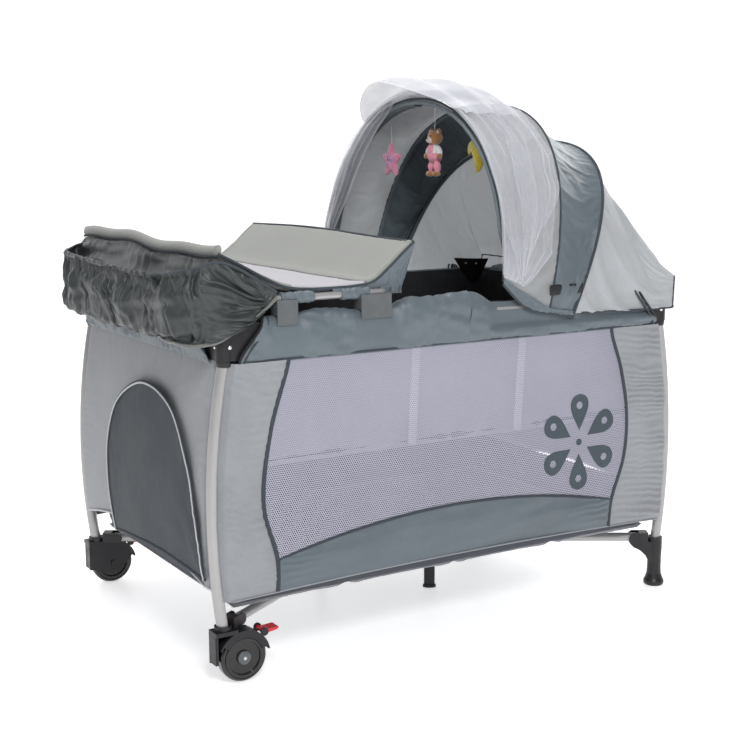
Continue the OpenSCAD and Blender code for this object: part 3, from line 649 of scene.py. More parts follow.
def long_side(tag, turned, leg, opposite):
    """One long side: two cloth strips, the mesh window, the arched band, bindings and the printed flower."""
    s = 1 if turned else -1
    out = (0, s, 0)
    anchor = (s * 0.59, s * POST_Y, 0.4)
    how = (leg, (1, 0, 0), anchor, FOLD_KEEP)

    def place(x, z, d=0.0):
        tuck = 0.013 * (1 - ease((post_x(z) - 0.006 - abs(x)) / 0.016))
        return (-s * x, s * (WALL_Y + 0.0012 + d - tuck), z)

    def strip(name, left, right, seam_at, height, material=LIGHT, nu=40, nv=120, low=hem, high=cover_edge):
        at = panel(left, right, low, high)
        return cloth_sheet(f"{tag}_{name}", lambda u, v: place(*at(u, v)), height(at), nu, nv, material, how,
                           out)

    def left_height(at):
        def height(u, v):
            x, z = at(u, v)
            seam = abs(x - WINDOW_LEFT(z))
            edge = abs(x + post_edge(z))
            h = 0.0055 * math.sin(math.pi * u) + 0.0030 * wave(x * 16 + z * 6, z * 9, 3.0)
            h += (0.0045 * gathers(z, seam, 0.019, 0.030, 1.0)
                  + 0.0042 * gathers(z + x * 0.4, edge, 0.021, 0.034, 2.0))
            return h * ease(v / 0.04) * ease(seam / 0.010)
        return height

    def right_height(at):
        def height(u, v):
            x, z = at(u, v)
            seam = abs(x - WINDOW_RIGHT(z))
            edge = abs(x - post_edge(z))
            h = 0.0060 * math.sin(math.pi * u) + 0.0022 * wave(x * 12, z * 10, 8.0)
            h += (0.0085 * gathers(z + x * 0.10, edge, 0.0150, 0.085, 4.0)
                  + 0.0045 * gathers(z, seam, 0.018, 0.030, 5.0))
            return h * ease(v / 0.03) * ease(seam / 0.010)
        return height

    def band_height(at):
        def height(u, v):
            x, z = at(u, v)
            side = min(abs(x - WINDOW_LEFT(z)), abs(x - WINDOW_RIGHT(z)))
            h = 0.0045 * math.sin(math.pi * v) + 0.0032 * wave(x * 6 - z * 8, z * 18, 12.0)
            h += 0.0045 * gathers(z, side, 0.016, 0.060, 6.0)
            h += 0.0016 * gathers(x, abs(z - band_top(x)), 0.020, 0.014, 7.0)
            return h * ease(side / 0.012)
        return height

    def window_dip(x, z):
        side = min(abs(x - WINDOW_LEFT(z)), abs(x - WINDOW_RIGHT(z)))
        u = (x - WINDOW_LEFT(z)) / (WINDOW_RIGHT(z) - WINDOW_LEFT(z))
        v = (z - band_top(x)) / (cover_edge(x) - band_top(x))
        dip = -0.005 * max(0.0, math.sin(math.pi * u)) * max(0.0, math.sin(math.pi * v))
        return dip + 0.0012 * gathers(z, side, 0.018, 0.03, 9.0) + 0.0010 * wave(x * 6, z * 6, 10.0)

    def window_height(at):
        return lambda u, v: window_dip(*at(u, v))

    strip("strip_a", lambda z: -post_edge(z), WINDOW_LEFT, WINDOW_LEFT, left_height)
    strip("strip_b", WINDOW_RIGHT, post_edge, WINDOW_RIGHT, right_height, nv=200)
    strip("band", WINDOW_LEFT, WINDOW_RIGHT, None, band_height, SLATE, 160, 30, hem, band_top)
    window = strip("window", WINDOW_LEFT, WINDOW_RIGHT, None, window_height, MESH, 80, 40, band_top,
                   cover_edge)
    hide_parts(f"{tag}_side")

    def bound(name, path, width, material=BINDING, height=0.0034, lift=0.0):
        points = [place(x, z, 0.0012) for x, z in path]
        piece = piping(f"{tag}_{name}", points, out, width, height, material, lift=lift)
        return follow(piece, how)

    zs = np.linspace(0.0, 1.0, 70)
    for name, curve in (("binding_a", WINDOW_LEFT), ("binding_b", WINDOW_RIGHT)):
        bound(name, [(curve(z), z) for z in lerp(hem(0.48) + 0.001, 0.685, zs)], 0.0100)
    bound("band_binding", [(x, band_top(x)) for x in lerp(WINDOW_LEFT(0.25), WINDOW_RIGHT(0.25), zs)], 0.0066)
    bound("hem", [(x, hem(x)) for x in lerp(-0.600, 0.600, zs)], 0.0036, LIGHT, 0.0030)
    bound("rail_piping", [(x, 0.6855) for x in lerp(-0.572, 0.572, zs)], 0.0044, BINDING, 0.0046)

    def printed(x, z):
        return place(x, z, window_dip(x, z) + 0.0007)

    for k in range(6):
        verts, faces = [], []
        outline, hole = petal(math.pi / 2 + k * math.pi / 3)
        rings = [[lerp(np.array(a), np.array(b), t) for a, b in zip(outline, hole)]
                 for t in (0, 0.25, 0.5, 0.75, 1)]
        for ring in rings:
            verts += [printed(FLOWER[0] + a, FLOWER[1] + b) for a, b in ring]
        n = len(outline)
        faces = [(r * n + i, r * n + (i + 1) % n, (r + 1) * n + (i + 1) % n, (r + 1) * n + i)
                 for r in range(4) for i in range(n)]
        follow(add_object(f"{tag}_petal_{k}", verts, faces, PRINT), how)
    dot = [printed(FLOWER[0] + 0.0085 * math.cos(a), FLOWER[1] + 0.0085 * math.sin(a))
           for a in np.linspace(0, 2 * math.pi, 24, endpoint=False)]
    follow(add_object(f"{tag}_flower_dot", dot, [tuple(range(24))], PRINT), how)


# ---------- Ends ----------

DOOR = [(0.145, 0.212), (0.166, 0.330), (0.160, 0.440), (0.108, 0.535), (0.0, 0.590), (-0.110, 0.594),
        (-0.215, 0.556), (-0.300, 0.462), (-0.346, 0.340), (-0.361, 0.226)]


def end_hem(y):
    return 0.204 + 0.050 * (1 - (y / 0.370) ** 2)


def end_side(tag, turned, leg, door):
    """One end: a curved sheet between the posts, with a zipped door at the left end."""
    s = 1 if turned else -1
    reach = 0.3755
    anchor = (s * FOOT_X, -s * POST_Y, 0.4)
    how = (leg, (0, 1, 0), anchor, 0.36)

    def place(y, z, d=0.0):
        tuck = 0.014 * (1 - ease((POST_Y - 0.006 - abs(y)) / 0.020))
        return (s * (ARC_X + math.sqrt((ARC_R + 0.0150 + d - tuck) ** 2 - (z - ARC_Z) ** 2)), -s * y, z)

    def outward(y, z):
        n = np.array(place(y, z, 0.01)) - np.array(place(y, z))
        return n / np.linalg.norm(n)

    def swell(y, z):
        edge = max(0.0, reach - abs(y))
        h = 0.0050 * math.sin(math.pi * (0.5 - y / (2 * reach))) ** 0.7 if edge > 0 else 0.0
        h += 0.0034 * wave(y * 6 + z * 2, z * 4, 20.0)
        h += (0.0036 * gathers(z, edge, 0.022, 0.045, 11.0 + s)
              + 0.0026 * gathers(y, 0.69 - z, 0.03, 0.05, 12.0 + s))
        return h * ease(edge / 0.014)

    def height(u, v):
        y = lerp(reach, -reach, u)
        return swell(y, lerp(end_hem(y), 0.690, v))

    def base(u, v):
        y = lerp(reach, -reach, u)
        return place(y, lerp(end_hem(y), 0.690, v))

    sheet = cloth_sheet(f"{tag}_wall", base, height, 110, 90, LIGHT, how, s)
    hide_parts(f"{tag}_end")
    ys = np.linspace(-reach, reach, 60)
    hem_line = [(y, end_hem(y)) for y in ys]

    def bound(name, line, width, material, tall=0.0034, up=0.0):
        ends = [outward(y, z) for y, z in line]
        points = [np.array(place(y, z)) + outward(y, z) * (up + 0.0026 + swell(y, z)) for y, z in line]
        return follow(piping(f"{tag}_{name}", points, lambda i: ends[i], width, tall, material), how)

    ends = [outward(y, z) for y, z in hem_line]
    points = [np.array(place(y, z)) for y, z in hem_line]
    follow(piping(f"{tag}_hem", points, lambda i: ends[i], 0.0050, 0.0034, PALE_PIPING), how)
    if not door:
        return
    outline = [tuple(spline(DOOR, t)) for t in np.linspace(0, 1, 90)]

    def door_base(u, v):
        """A fan of rows from the sill up to the arch."""
        y, z = spline(DOOR, u)
        sill = lerp(0.145, -0.361, u)
        low = lerp(0.212, 0.226, u) + 0.014 * math.sin(math.pi * u)
        return np.array(place(lerp(sill, y, v), lerp(low, z, v)))

    def door_height(u, v):
        p = door_base(u, v)
        h = (0.0014 + swell(-s * p[1], p[2])
             + 0.0016 * (1 + wave(u * 4, v * 3, 31.0)) * math.sin(math.pi * min(1, v * 1.0)))
        return h + 0.0022 * gathers(u, (1 - v) * 0.3, 0.035, 0.05, 13.0)

    cloth_sheet(f"{tag}_door", door_base, door_height, 90, 40, DOOR_CLOTH, how, (s, 0, 0))
    bound("door_binding", outline, 0.0120, BINDING, 0.0036)
    bound("door_zip", outline, 0.0052, PALE_PIPING, 0.0046, 0.0010)
    sill = [(lerp(0.150, -0.364, t), lerp(0.212, 0.226, t) + 0.014 * math.sin(math.pi * t)) for t in
            np.linspace(0, 1, 40)]
    bound("door_sill", sill, 0.0070, BINDING, 0.0034)


# ---------- Padded covers on the top rails ----------

# Section of a rail cover: (distance out from the rail's line, height), from its outer hem over the top to
# the inner one
COVER_SECTION = [(0.0200, 0.6820), (0.0235, 0.7020), (0.0245, 0.7300), (0.0225, 0.7560), (0.0130, 0.7735),
                 (0.0, 0.7775), (-0.0130, 0.7735), (-0.0225, 0.7580), (-0.0250, 0.7300), (-0.0250, 0.6950)]
CLIPS = ((-0.459, 0.024), (-0.243, 0.038))  # middle and half width of each clip


def rail_cover(name, along_x, line, side, a, b, pivot, bodies, material, seed, pinch=None):
    """Half of a rail's cover, from a to b along the rail. line is the rail's distance from the middle."""
    leg, rail = bodies
    reach = 0.020

    def base(u, v):
        d, z = spline(COVER_SECTION, v)
        t = lerp(a, b, u)
        end = abs(t)
        limit = (0.571 if along_x else 0.354) - 0.058 * ease((z - 0.682) / 0.095)
        t = math.copysign(min(end, limit), t) if end > limit else t
        if along_x:
            return np.array((t, side * (line + d), z))
        return np.array((side * (line + d), t, z))

    def height(u, v):
        t = lerp(a, b, u)
        low = min(v, 1 - v) * 0.28
        seam = gathers(t, low, 0.026, 0.030, seed)
        diagonal = wave(t * 11 + v * 5, v * 3 - t * 4, seed + 3)
        h = 0.0050 * math.sin(math.pi * min(1.0, v * 1.6)) + 0.0060 * diagonal + 0.0045 * seam
        h += (0.0036 * gathers(t, abs(v - 0.42) * 0.25, 0.034, 0.05, seed + 5)
              + 0.003 * wave(t * 30, v * 9, seed + 9))
        h = max(h, -0.0015)
        crown = 0.015 * math.exp(-((v - 0.50) / 0.16) ** 2) * ease((t + 0.205) / 0.06) if along_x else 0.0
        h = lerp(max(h, 0.0025), h, ease(abs(t) / 0.10)) + crown
        if along_x and t > 0.02:
            upper = ease((base(u, v)[2] - 0.700) / 0.016)
            h = min(h, lerp(0.0180, lerp(0.0120, -0.0110, upper), ease((t - 0.02) / 0.07)))
        if pinch:
            near = min(abs(t - x) - half for x, half in pinch)
            h = lerp(-0.002, h, ease((near - 0.003) / 0.026))
        return h * ease(v / 0.05) * ease((1 - v) / 0.05)

    axis = (1, 0, 0) if along_x else (0, 1, 0)
    start = np.array(axis) * math.copysign(pivot + reach, a + b)
    end = np.array(axis) * math.copysign(pivot - reach, a + b)
    steps = int(abs(b - a) / 0.0055)
    how = (leg, rail, tuple(start), tuple(end))
    middle = base(0.5, 0.25)
    across = np.cross(base(0.55, 0.25) - middle, base(0.5, 0.30) - middle)
    outward = 1 if across.dot(middle * ((0, 1, 0) if along_x else (1, 0, 0))) > 0 else -1
    cover = cloth_sheet(name, base, height, steps, 44, material, how, outward,
                        relax=dict(shrink=-0.02, cap=0.005))
    if along_x:
        shares = np.linspace(0.02, 0.48, 40)
        for k, (back, size, shade) in enumerate(((0.0, 0.0062, DARK), (0.012, 0.0048, BINDING))):
            step = (b - a) / abs(b - a) * back
            path = [base(1.0, v) + np.array((-step, side * 0.0010, 0.0)) for v in shares]
            follow(piping(f"{name}_end_piping_{k}", path, (0, side, 0.3), size, 0.0050, shade), leg)
    return cover


def rail_covers():
    for y_tag, side in (("near", -1), ("far", 1)):
        for x_tag, way in (("left", -1), ("right", 1)):
            seed = 40.0 + 3 * side + way
            pinch = CLIPS if way < 0 else None
            cover = rail_cover(f"cover_{y_tag}_{x_tag}", True, POST_Y, side, 0.0, way * 0.572, LONG_PIVOT,
                               (f"leg_{y_tag}_{x_tag}", f"rail_{y_tag}_{x_tag}"), SLATE, seed, pinch)
            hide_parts(f"{y_tag}_side")
    for x_tag, side in (("left", -1), ("right", 1)):
        for y_tag, way in (("near", -1), ("far", 1)):
            cover = rail_cover(f"cover_{x_tag}_{y_tag}", False, TOP_X, side, 0.0, way * 0.355, SHORT_PIVOT,
                               (f"leg_{y_tag}_{x_tag}", f"rail_{x_tag}_{y_tag}"), SLATE, 60.0 + 3 * side
                               + way)
            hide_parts(f"{x_tag}_end")


# ---------- Pads ----------

def cushion(name, lo, hi, material, crown=0.85, seams=(), corner=0.02, nu=90, nv=56, seed=0.0, soft=0.0012):
    """A flat pad with rounded edges, and grooves across it at the x values in seams."""
    lo, hi = np.array(lo), np.array(hi)
    mid = (lo[2] + hi[2]) / 2
    thick = (hi[2] - lo[2]) / 2

    def spread(t):
        return (0.5 - 0.5 * math.cos(math.pi * t) if t in (0.0, 1.0)
                else lerp(t, 0.5 - 0.5 * math.cos(math.pi * t), 0.35))

    verts, index = [], {}
    for face in (1, -1):
        for i in range(nu + 1):
            for j in range(nv + 1):
                rim = i in (0, nu) or j in (0, nv)
                if rim and face < 0:
                    index[(face, i, j)] = index[(1, i, j)]
                    continue
                x = lerp(lo[0], hi[0], spread(i / nu))
                y = lerp(lo[1], hi[1], spread(j / nv))
                edge = min(x - lo[0], hi[0] - x, y - lo[1], hi[1] - y)
                tall = min(1.0, edge / (thick * 1.3))
                tall = thick * math.sqrt(max(0.0, 1 - (1 - tall) ** 2)) * crown
                for seam in seams:
                    near = abs(x - seam)
                    tall *= 1 - 0.75 * math.exp(-(near / 0.009) ** 2)
                if face > 0:
                    tall += soft * wave(x * 8, y * 8, seed) * min(1.0, edge / 0.03)
                pull = 0.004 * math.sin(math.pi * i / nu) if j in (0, nv) else 0
                index[(face, i, j)] = len(verts)
                verts.append((x, y + (pull if j == 0 else -pull), mid + face * tall))
    faces = []
    for face in (1, -1):
        for i in range(nu):
            for j in range(nv):
                f = (index[(face, i, j)], index[(face, i + 1, j)], index[(face, i + 1, j + 1)],
                     index[(face, i, j + 1)])
                faces.append(f if face > 0 else f[::-1])
    obj = add_object(name, verts, faces, material)
    seam = [index[(1, i, j)] for i in range(nu + 1) for j in range(nv + 1) if i in (0, nu) or j in (0, nv)]
    return settle(obj, seam, pressure=0.8, shrink=-0.01, cap=0.004)


def pads():
    lo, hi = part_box("mattress")
    quarter = (hi.x - lo.x) / 4
    seams = [lo.x + quarter * k for k in (1, 2, 3)]
    mattress = cushion("play_mattress", lo, hi, MATTRESS, 1.0, seams, seed=1.0)
    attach(mattress, "root")
    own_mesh(mattress)
    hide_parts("mattress")
    lo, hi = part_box("bassinet")
    low = Vector((lo.x + 0.012, lo.y + 0.012, lo.z + 0.004))
    high = Vector((hi.x - 0.012, hi.y - 0.012, lo.z + 0.032))
    width = (high.x - low.x) / 4
    floor = cushion("bassinet_floor", low, high, DARK, 1.0, [low.x + width * k for k in (1, 2, 3)], seed=2.0)
    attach(floor, "root")
    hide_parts("bassinet")


def tray():
    """Cloth that joins the walls to the mattress all round, inside the hems."""
    lo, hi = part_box("mattress")
    steps, rows = 240, 6
    verts = []
    for i in range(steps):
        for j in range(rows + 1):
            v = j / rows
            x, y, n = around(i / steps, lerp(hi.x - 0.004, 0.592, v), lerp(hi.y - 0.004, WALL_Y - 0.010, v),
                             0.02)
            verts.append((x, y, lerp(hi.z - 0.012, 0.262, v ** 1.6) + 0.003 * wave(i * 0.12, v * 3, 15.0)))
    w = rows + 1
    faces = [(i * w + j, (i + 1) % steps * w + j, (i + 1) % steps * w + j + 1, i * w + j + 1)
             for i in range(steps) for j in range(rows)]
    obj = add_object("floor_tray", verts, faces, TRAY, "root")
    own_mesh(obj)


# ---------- Bassinet ----------

def around(t, x, y, r):
    """Point and outward direction at share t round a rectangle with rounded corners, from the middle of
    the near side."""
    straight = [2 * (x - r), 2 * (y - r), 2 * (x - r), 2 * (y - r)]
    total = sum(straight) + 2 * math.pi * r
    d = (t % 1.0) * total + straight[0] / 2
    corners = [(x - r, -(y - r)), (x - r, y - r), (-(x - r), y - r), (-(x - r), -(y - r))]
    ways = [(1, 0), (0, 1), (-1, 0), (0, -1)]
    starts = [(-(x - r), -y), (x, -(y - r)), (x - r, y), (-x, y - r)]
    normals = [(0, -1), (1, 0), (0, 1), (-1, 0)]
    d = d % total
    for k in range(4):
        if d <= straight[k]:
            return starts[k][0] + ways[k][0] * d, starts[k][1] + ways[k][1] * d, normals[k]
        d -= straight[k]
        arc = math.pi / 2 * r
        if d <= arc:
            a = -math.pi / 2 + k * math.pi / 2 + d / r
            return (corners[k][0] + r * math.cos(a), corners[k][1] + r * math.sin(a),
                    (math.cos(a), math.sin(a)))
        d -= arc
    return starts[0][0], starts[0][1], normals[0]


def bassinet():
    lo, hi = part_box("bassinet")
    steps, rows = 420, 40
    total = 2 * (hi.x - lo.x + hi.y - lo.y)
    for name, inset, material, top in (("bassinet_shell", 0.0, TUB_CLOTH, 0.764),
                                       ("bassinet_lining", 0.0032, DARK, 0.766)):
        verts = []
        for i in range(steps):
            for j in range(rows + 1):
                z = lerp(top, lo.z + 0.003 + 2 * inset, j / rows)
                x, y, n = around(i / steps, hi.x, hi.y, 0.045)
                along = i / steps * total
                sag = 0.016 * ease((0.50 - z) / 0.06)
                fold = (-0.0045 - 0.0075 * wave(along * 7 + z * 5, z * 7, 50.0)
                        - 0.0030 * wave(along * 19, z * 12, 54.0)
                        - 0.0030 * gathers(along, (0.69 - z) * 0.35, 0.05, 0.05, 51.0))
                fold -= 0.0026 * gathers(along, (z - 0.445) * 0.6, 0.032, 0.04, 52.0)
                d = min(-0.0006, fold * ease((0.766 - z) / 0.03)) - sag - inset
                verts.append((x + n[0] * d, y + n[1] * d, z))
        w = rows + 1
        faces = [(i * w + j, i * w + j + 1, (i + 1) % steps * w + j + 1, (i + 1) % steps * w + j)
                 for i in range(steps) for j in range(rows)]
        obj = add_object(name, verts, faces, material, "root")
        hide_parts("bassinet")
    for side in (-1, 1):
        for k, (high_x, low_x) in enumerate(((-0.106, -0.118), (0.196, 0.181))):
            x0, x1 = (high_x, low_x) if side < 0 else (-high_x, -low_x)
            path = [(lerp(x0, x1, t), side * (hi.y + 0.0012), lerp(0.700, 0.452, t))
                    for t in np.linspace(0, 1, 20)]
            strap = piping(f"bassinet_strap_{'near' if side < 0 else 'far'}_{k}", path, (0, side, 0), 0.024,
                           0.0016,
                           TAPE, "root", 8)


# ---------- Changing table ----------

PAD_LINE = [(-0.606, 0.9080), (-0.560, 0.8850), (-0.500, 0.8530), (-0.452, 0.8330), (-0.400, 0.8270),
            (-0.345, 0.8260), (-0.290, 0.8270), (-0.242, 0.8340), (-0.200, 0.8650), (-0.165, 0.8960),
            (-0.137, 0.9190)]


def pad_line(t):
    """Point and normal of the pad's upper face at share t from the outer flap to the inner one."""
    x, z = spline(PAD_LINE, t)
    a, b = spline(PAD_LINE, max(0.0, t - 0.01)), spline(PAD_LINE, min(1.0, t + 0.01))
    d = (b - a) / np.linalg.norm(b - a)
    return np.array((x, 0.0, z)), np.array((-d[1], 0.0, d[0]))


def flap_wave(t, y):
    """How the flaps' free edges wander up and down along the pad."""
    outer = max(0.0, 0.45 - t) / 0.45
    inner = max(0.0, t - 0.70) / 0.30
    return outer * (0.006 * math.sin(y * 9) + 0.003 * math.sin(y * 23)) + inner * 0.004 * math.sin(y * 7 + 1)


def changing_pad():
    """Trough-shaped pad: a white middle between two grey flaps, all one stuffed form with piped edges."""
    half = PAD_Y - 0.001
    parts = (("pad_outer_flap", 0.0, 0.335, PAD_GREY), ("pad_middle", 0.335, 0.665, PAD_WHITE),
             ("pad_inner_flap", 0.665, 1.0, PAD_GREY))
    under = 0.0125
    for name, a, b, material in parts:
        nu, nv = 34, 90
        verts, faces, index = [], [], {}
        for face in (1, -1):
            for i in range(nu + 1):
                for j in range(nv + 1):
                    rim = i in (0, nu) or j in (0, nv)
                    if rim and face < 0:
                        index[(face, i, j)] = index[(1, i, j)]
                        continue
                    u, v = i / nu, j / nv
                    y = lerp(-half, half, lerp(v, 0.5 - 0.5 * math.cos(math.pi * v), 0.3))
                    p, n = pad_line(lerp(a, b, u))
                    length = 0.17
                    edge = min(u * length, (1 - u) * length, half - abs(y))
                    plump = math.sqrt(max(0.0, 1 - (1 - min(1.0, edge / 0.016)) ** 2))
                    tall = face * (0.0085 if face > 0 else under - 0.004) * plump
                    tall += 0.0016 * plump * wave(p[0] * 7, y * 5, 70.0 + face)
                    tall += 0.0012 * gathers(y, edge, 0.03, 0.02, 71.0) * (face > 0)
                    q = p + n * tall + np.array((0, 0, flap_wave(lerp(a, b, u), y)))
                    index[(face, i, j)] = len(verts)
                    verts.append((q[0], y, q[2]))
        for face in (1, -1):
            for i in range(nu):
                for j in range(nv):
                    f = (index[(face, i, j)], index[(face, i + 1, j)], index[(face, i + 1, j + 1)],
                         index[(face, i, j + 1)])
                    faces.append(f if face > 0 else f[::-1])
        obj = add_object(name, verts, faces, material)
        seam = [index[(1, i, j)] for i in range(nu + 1) for j in range(nv + 1) if i in (0, nu)
                or j in (0, nv)]
        settle(obj, seam, pressure=1.2, shrink=-0.01, cap=0.005)
        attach(obj, "changer")
        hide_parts("changer_pad")
    for side, tag in ((-1, "near"), (1, "far")):
        path = [pad_line(t)[0] + np.array((0, side * half, flap_wave(t, side * half) - 0.001))
                for t in np.linspace(0, 1, 60)]
        piping(f"pad_piping_{tag}", path, (0, side, 0), 0.0070, 0.0060, BINDING, "changer")
    p = pad_line(0.0)[0]
    path = [(p[0] + 0.002, y, p[2] + 0.007 + flap_wave(0.0, y))
            for y in np.linspace(-half + 0.004, half - 0.004, 60)]
    piping("pad_outer_edge", path, (-1, 0, 0.25), 0.023, 0.014, PAD_GREY, "changer", 20)
    for t, tag in ((0.0, "outer"), (1.0, "inner")):
        p = pad_line(t)[0] - np.array((0.002, 0, 0.005 * (1 - t)))
        path = [(p[0], y, p[2] + flap_wave(t, y)) for y in np.linspace(-half, half, 60)]
        piping(f"pad_piping_{tag}", path, (0, 0, 1), 0.0060, 0.0060, BINDING, "changer")


def pad_skirt():
    """Slate cloth under the pad: a strip along its ends, deep under the inner flap, and the ties round the
    frame."""
    for side, tag in ((-1, "near"), (1, "far")):
        def base(u, v):
            t = lerp(0.50, 1.0, u)
            p = pad_line(t)[0]
            deep = ease((t - 0.58) / 0.10)
            low = max(CHANGER_Z - 0.008, p[2] - 0.016) * (1 - deep) + (CHANGER_Z - 0.006) * deep
            pull = 0.030 * v * ease((t - 0.85) / 0.15)
            return np.array((p[0] - pull, side * (PAD_Y - 0.0004 - 0.012 * v * deep),
                             lerp(p[2] - 0.002 + flap_wave(t, side * PAD_Y), low, v)))

        def height(u, v):
            t = lerp(0.50, 1.0, u)
            deep = ease((t - 0.60) / 0.10)
            small = 0.003 + 0.0030 * gathers(u * 0.5, v * 0.03, 0.017, 0.03, 80.0) * v
            return (small + deep * v * (0.007 * wave(u * 14, v * 3 + u * 4, 82.0)
                                        + 0.005 * wave(u * 30, v * 6, 83.0)))

        cloth_sheet(f"pad_skirt_{tag}", base, height, 110, 24, SLATE, "changer", (0, side, 0))
        for k, (a, b) in enumerate(((-0.470, -0.392), (-0.325, -0.258))):
            path = [(lerp(a, b, t), side * PAD_Y, CHANGER_Z + 0.001) for t in np.linspace(0, 1, 30)]
            wrap = piping(f"pad_tie_{tag}_{k}", path, (0, side, 0), 0.025, 0.025, SLATE, "changer", 24)
            for v in wrap.data.vertices:
                n = wave(v.co.x * 90, v.co.z * 60, 3.0 + k)
                fold = math.sin(v.co.x * 330 + v.co.z * 160)
                v.co.y += side * (0.0022 * n + 0.0012 * fold)
                v.co.z += 0.0022 * n


# ---------- Storage pocket ----------

# Where the pocket's wall runs, from its far end round the near corner to the rail: (x, y, mouth z, bottom z)
POCKET_WAY = [(-0.604, 0.384, 0.884, 0.760), (-0.655, 0.366, 0.872, 0.738), (-0.686, 0.290, 0.868, 0.727),
              (-0.692, 0.157, 0.864, 0.726), (-0.694, 0.000, 0.861, 0.729), (-0.694, -0.150, 0.858, 0.732),
              (-0.693, -0.280, 0.864, 0.732), (-0.688, -0.372, 0.874, 0.729), (-0.662, -0.406, 0.884, 0.728),
              (-0.626, -0.414, 0.894, 0.734), (-0.590, -0.415, 0.886, 0.748), (-0.548, -0.415, 0.864, 0.770),
              (-0.515, -0.413, 0.843, 0.793), (-0.486, -0.410, 0.826, 0.818)]
NEAR_Y, FAR_Y = -0.412, 0.380


def pocket():
    ts = np.linspace(0, 1, 400)
    way = np.array([spline(POCKET_WAY, t) for t in ts])
    steps = np.linalg.norm(np.diff(way[:, :2], axis=0), axis=1)
    metres = np.concatenate([[0.0], np.cumsum(steps)])
    length = metres[-1]
    corner = float(np.interp(0.372, -way[:, 1][:260], metres[:260]))

    def at(u):
        """Point of the wall's way, its outward direction and how far round it is."""
        d = u * length
        p = np.array([np.interp(d, metres, way[:, k]) for k in range(4)])
        a = np.array([np.interp(min(length, d + 0.02), metres, way[:, k]) for k in range(2)])
        b = np.array([np.interp(max(0.0, d - 0.02), metres, way[:, k]) for k in range(2)])
        run = (a - b) / np.linalg.norm(a - b)
        return p, np.array((run[1], -run[0], 0.0)), d

    def wall(u, v):
        p, out, d = at(u)
        belly = 0.012 * math.sin(math.pi * min(1.0, v * 1.15)) * min(1.0, 6 * min(u, 1 - u))
        tuck = 0.020 * ease((v - 0.86) / 0.14) * (1 - ease((u - 0.62) / 0.1))
        return np.array((p[0], p[1], lerp(p[2], p[3], v))) + out * (belly - tuck)

    def wall_height(u, v):
        p, out, d = at(u)
        end = ease(u / 0.04) * ease((1 - u) / 0.05)
        straight = 1 - ease((d - corner) / 0.10)
        mouth = 0.022 * gathers(d + 0.03 * wave(v * 2, d * 3, 89.0), v * 0.15, 0.050, 0.22, 90.0)
        mouth += (0.008 * gathers(d, v * 0.15, 0.013, 0.035, 91.0)
                  + 0.010 * wave(d * 8 + v * 2, v * 3 - d * 2, 92.0))
        v_fold = 0.016 * math.exp(-((d - 0.20) / 0.030) ** 2) * math.sin(math.pi * v)
        v_fold += 0.018 * math.exp(-((d - 0.52 - 0.05 * v) / 0.028) ** 2) * math.sin(math.pi * v)
        slant = d - corner - 0.35 * v
        drape = (0.012 * gathers(slant, (1 - u) * 0.9, 0.060, 0.8, 96.0)
                 + 0.014 * wave(d * 8 - v * 5, v * 3 + d * 4, 98.0))
        h = straight * (mouth - v_fold) * ease(v / 0.05 + 0.4) + (1 - straight) * drape
        h += 0.006 * wave(d * 12, v * 3, 93.0) - 0.006
        return h * end * ease((1 - v) / 0.06)

    how = "changer"
    first = cloth_sheet("pocket_wall", wall, wall_height, 380, 60, POCKET, how, 1,
                        relax=POCKET_RELAX)
    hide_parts("organiser_pocket")

    def back(u, v):
        y = lerp(lerp(-0.388, NEAR_Y + 0.012, v), lerp(0.388, FAR_Y - 0.004, v), u)
        x = spline([(-0.607, 0.0), (-0.640, 0.3), (-0.657, 0.7), (-0.672, 1.0)], v)[0]
        return np.array((x, y, lerp(0.899 + flap_wave(0.0, y), 0.735, v)))

    def back_height(u, v):
        y = lerp(NEAR_Y, FAR_Y, u)
        h = (0.010 * wave(y * 5 + v * 2, v * 5 - y * 3, 94.0)
             + 0.007 * gathers(y + v * 0.1, v * 0.2, 0.07, 0.2, 95.0))
        return h * ease(v / 0.04)

    cloth_sheet("pocket_back", back, back_height, 130, 40, POCKET, how, 1)

    def closed(u, v):
        p = at(0.0)[0]
        return np.array((lerp(p[0], -0.616, u), lerp(p[1], FAR_Y - 0.010, u),
                         lerp(lerp(p[2], 0.892, u), p[3], v)))

    cloth_sheet("pocket_far_wall", closed, lambda u, v: 0.002 * wave(u * 4, v * 5, 99.0), 8, 30, POCKET, how,
                (0, 1, 0))
    mouth = [wall(u, 0.0) for u in np.linspace(0, 0.63, 180)]
    for point in mouth:
        point[0] += 0.004 * wave(point[1] * 40, 0.0, 100.0) - 0.002
        point[2] += 0.003 * wave(point[1] * 60, 1.0, 101.0)
    piping("pocket_mouth", mouth, (-1, 0, 0), 0.011, 0.006, POCKET, how)
    bottom = [wall(u, 1.0) for u in np.linspace(0.0, 1, 200)]
    for point in bottom:
        point[2] += 0.0030 * wave(point[1] * 14 + point[0] * 20, 2.0, 102.0)
    piping("pocket_edge", bottom[100:], (0.3, -1, 0.2), 0.0075, 0.0060, POCKET_EDGE, how)
    piping("pocket_seam", bottom[:101], (-1, 0, -0.5), 0.0050, 0.0050, POCKET, how)
    top = [wall(u, 0.0) for u in np.linspace(0.66, 1, 80)]
    piping("pocket_top_edge", top, (0, -1, 0), 0.006, 0.005, BINDING, how)


# ---------- Canopy ----------

def arch(a, t, grow=0.0, w=CANOPY_Y):
    """Point at t degrees along a superellipse arch, from the near foot over the top to the far one."""
    foot_x, foot_z, height, lean, power = a
    c, s = math.cos(math.radians(t)), max(0.0, math.sin(math.radians(t)))
    y = -(w + grow) * math.copysign(abs(c) ** (2 / power), c)
    up = (height + grow) * s ** (2 / power)
    lean = math.radians(lean)
    return np.array((foot_x + up * math.sin(lean), y, foot_z + up * math.cos(lean)))


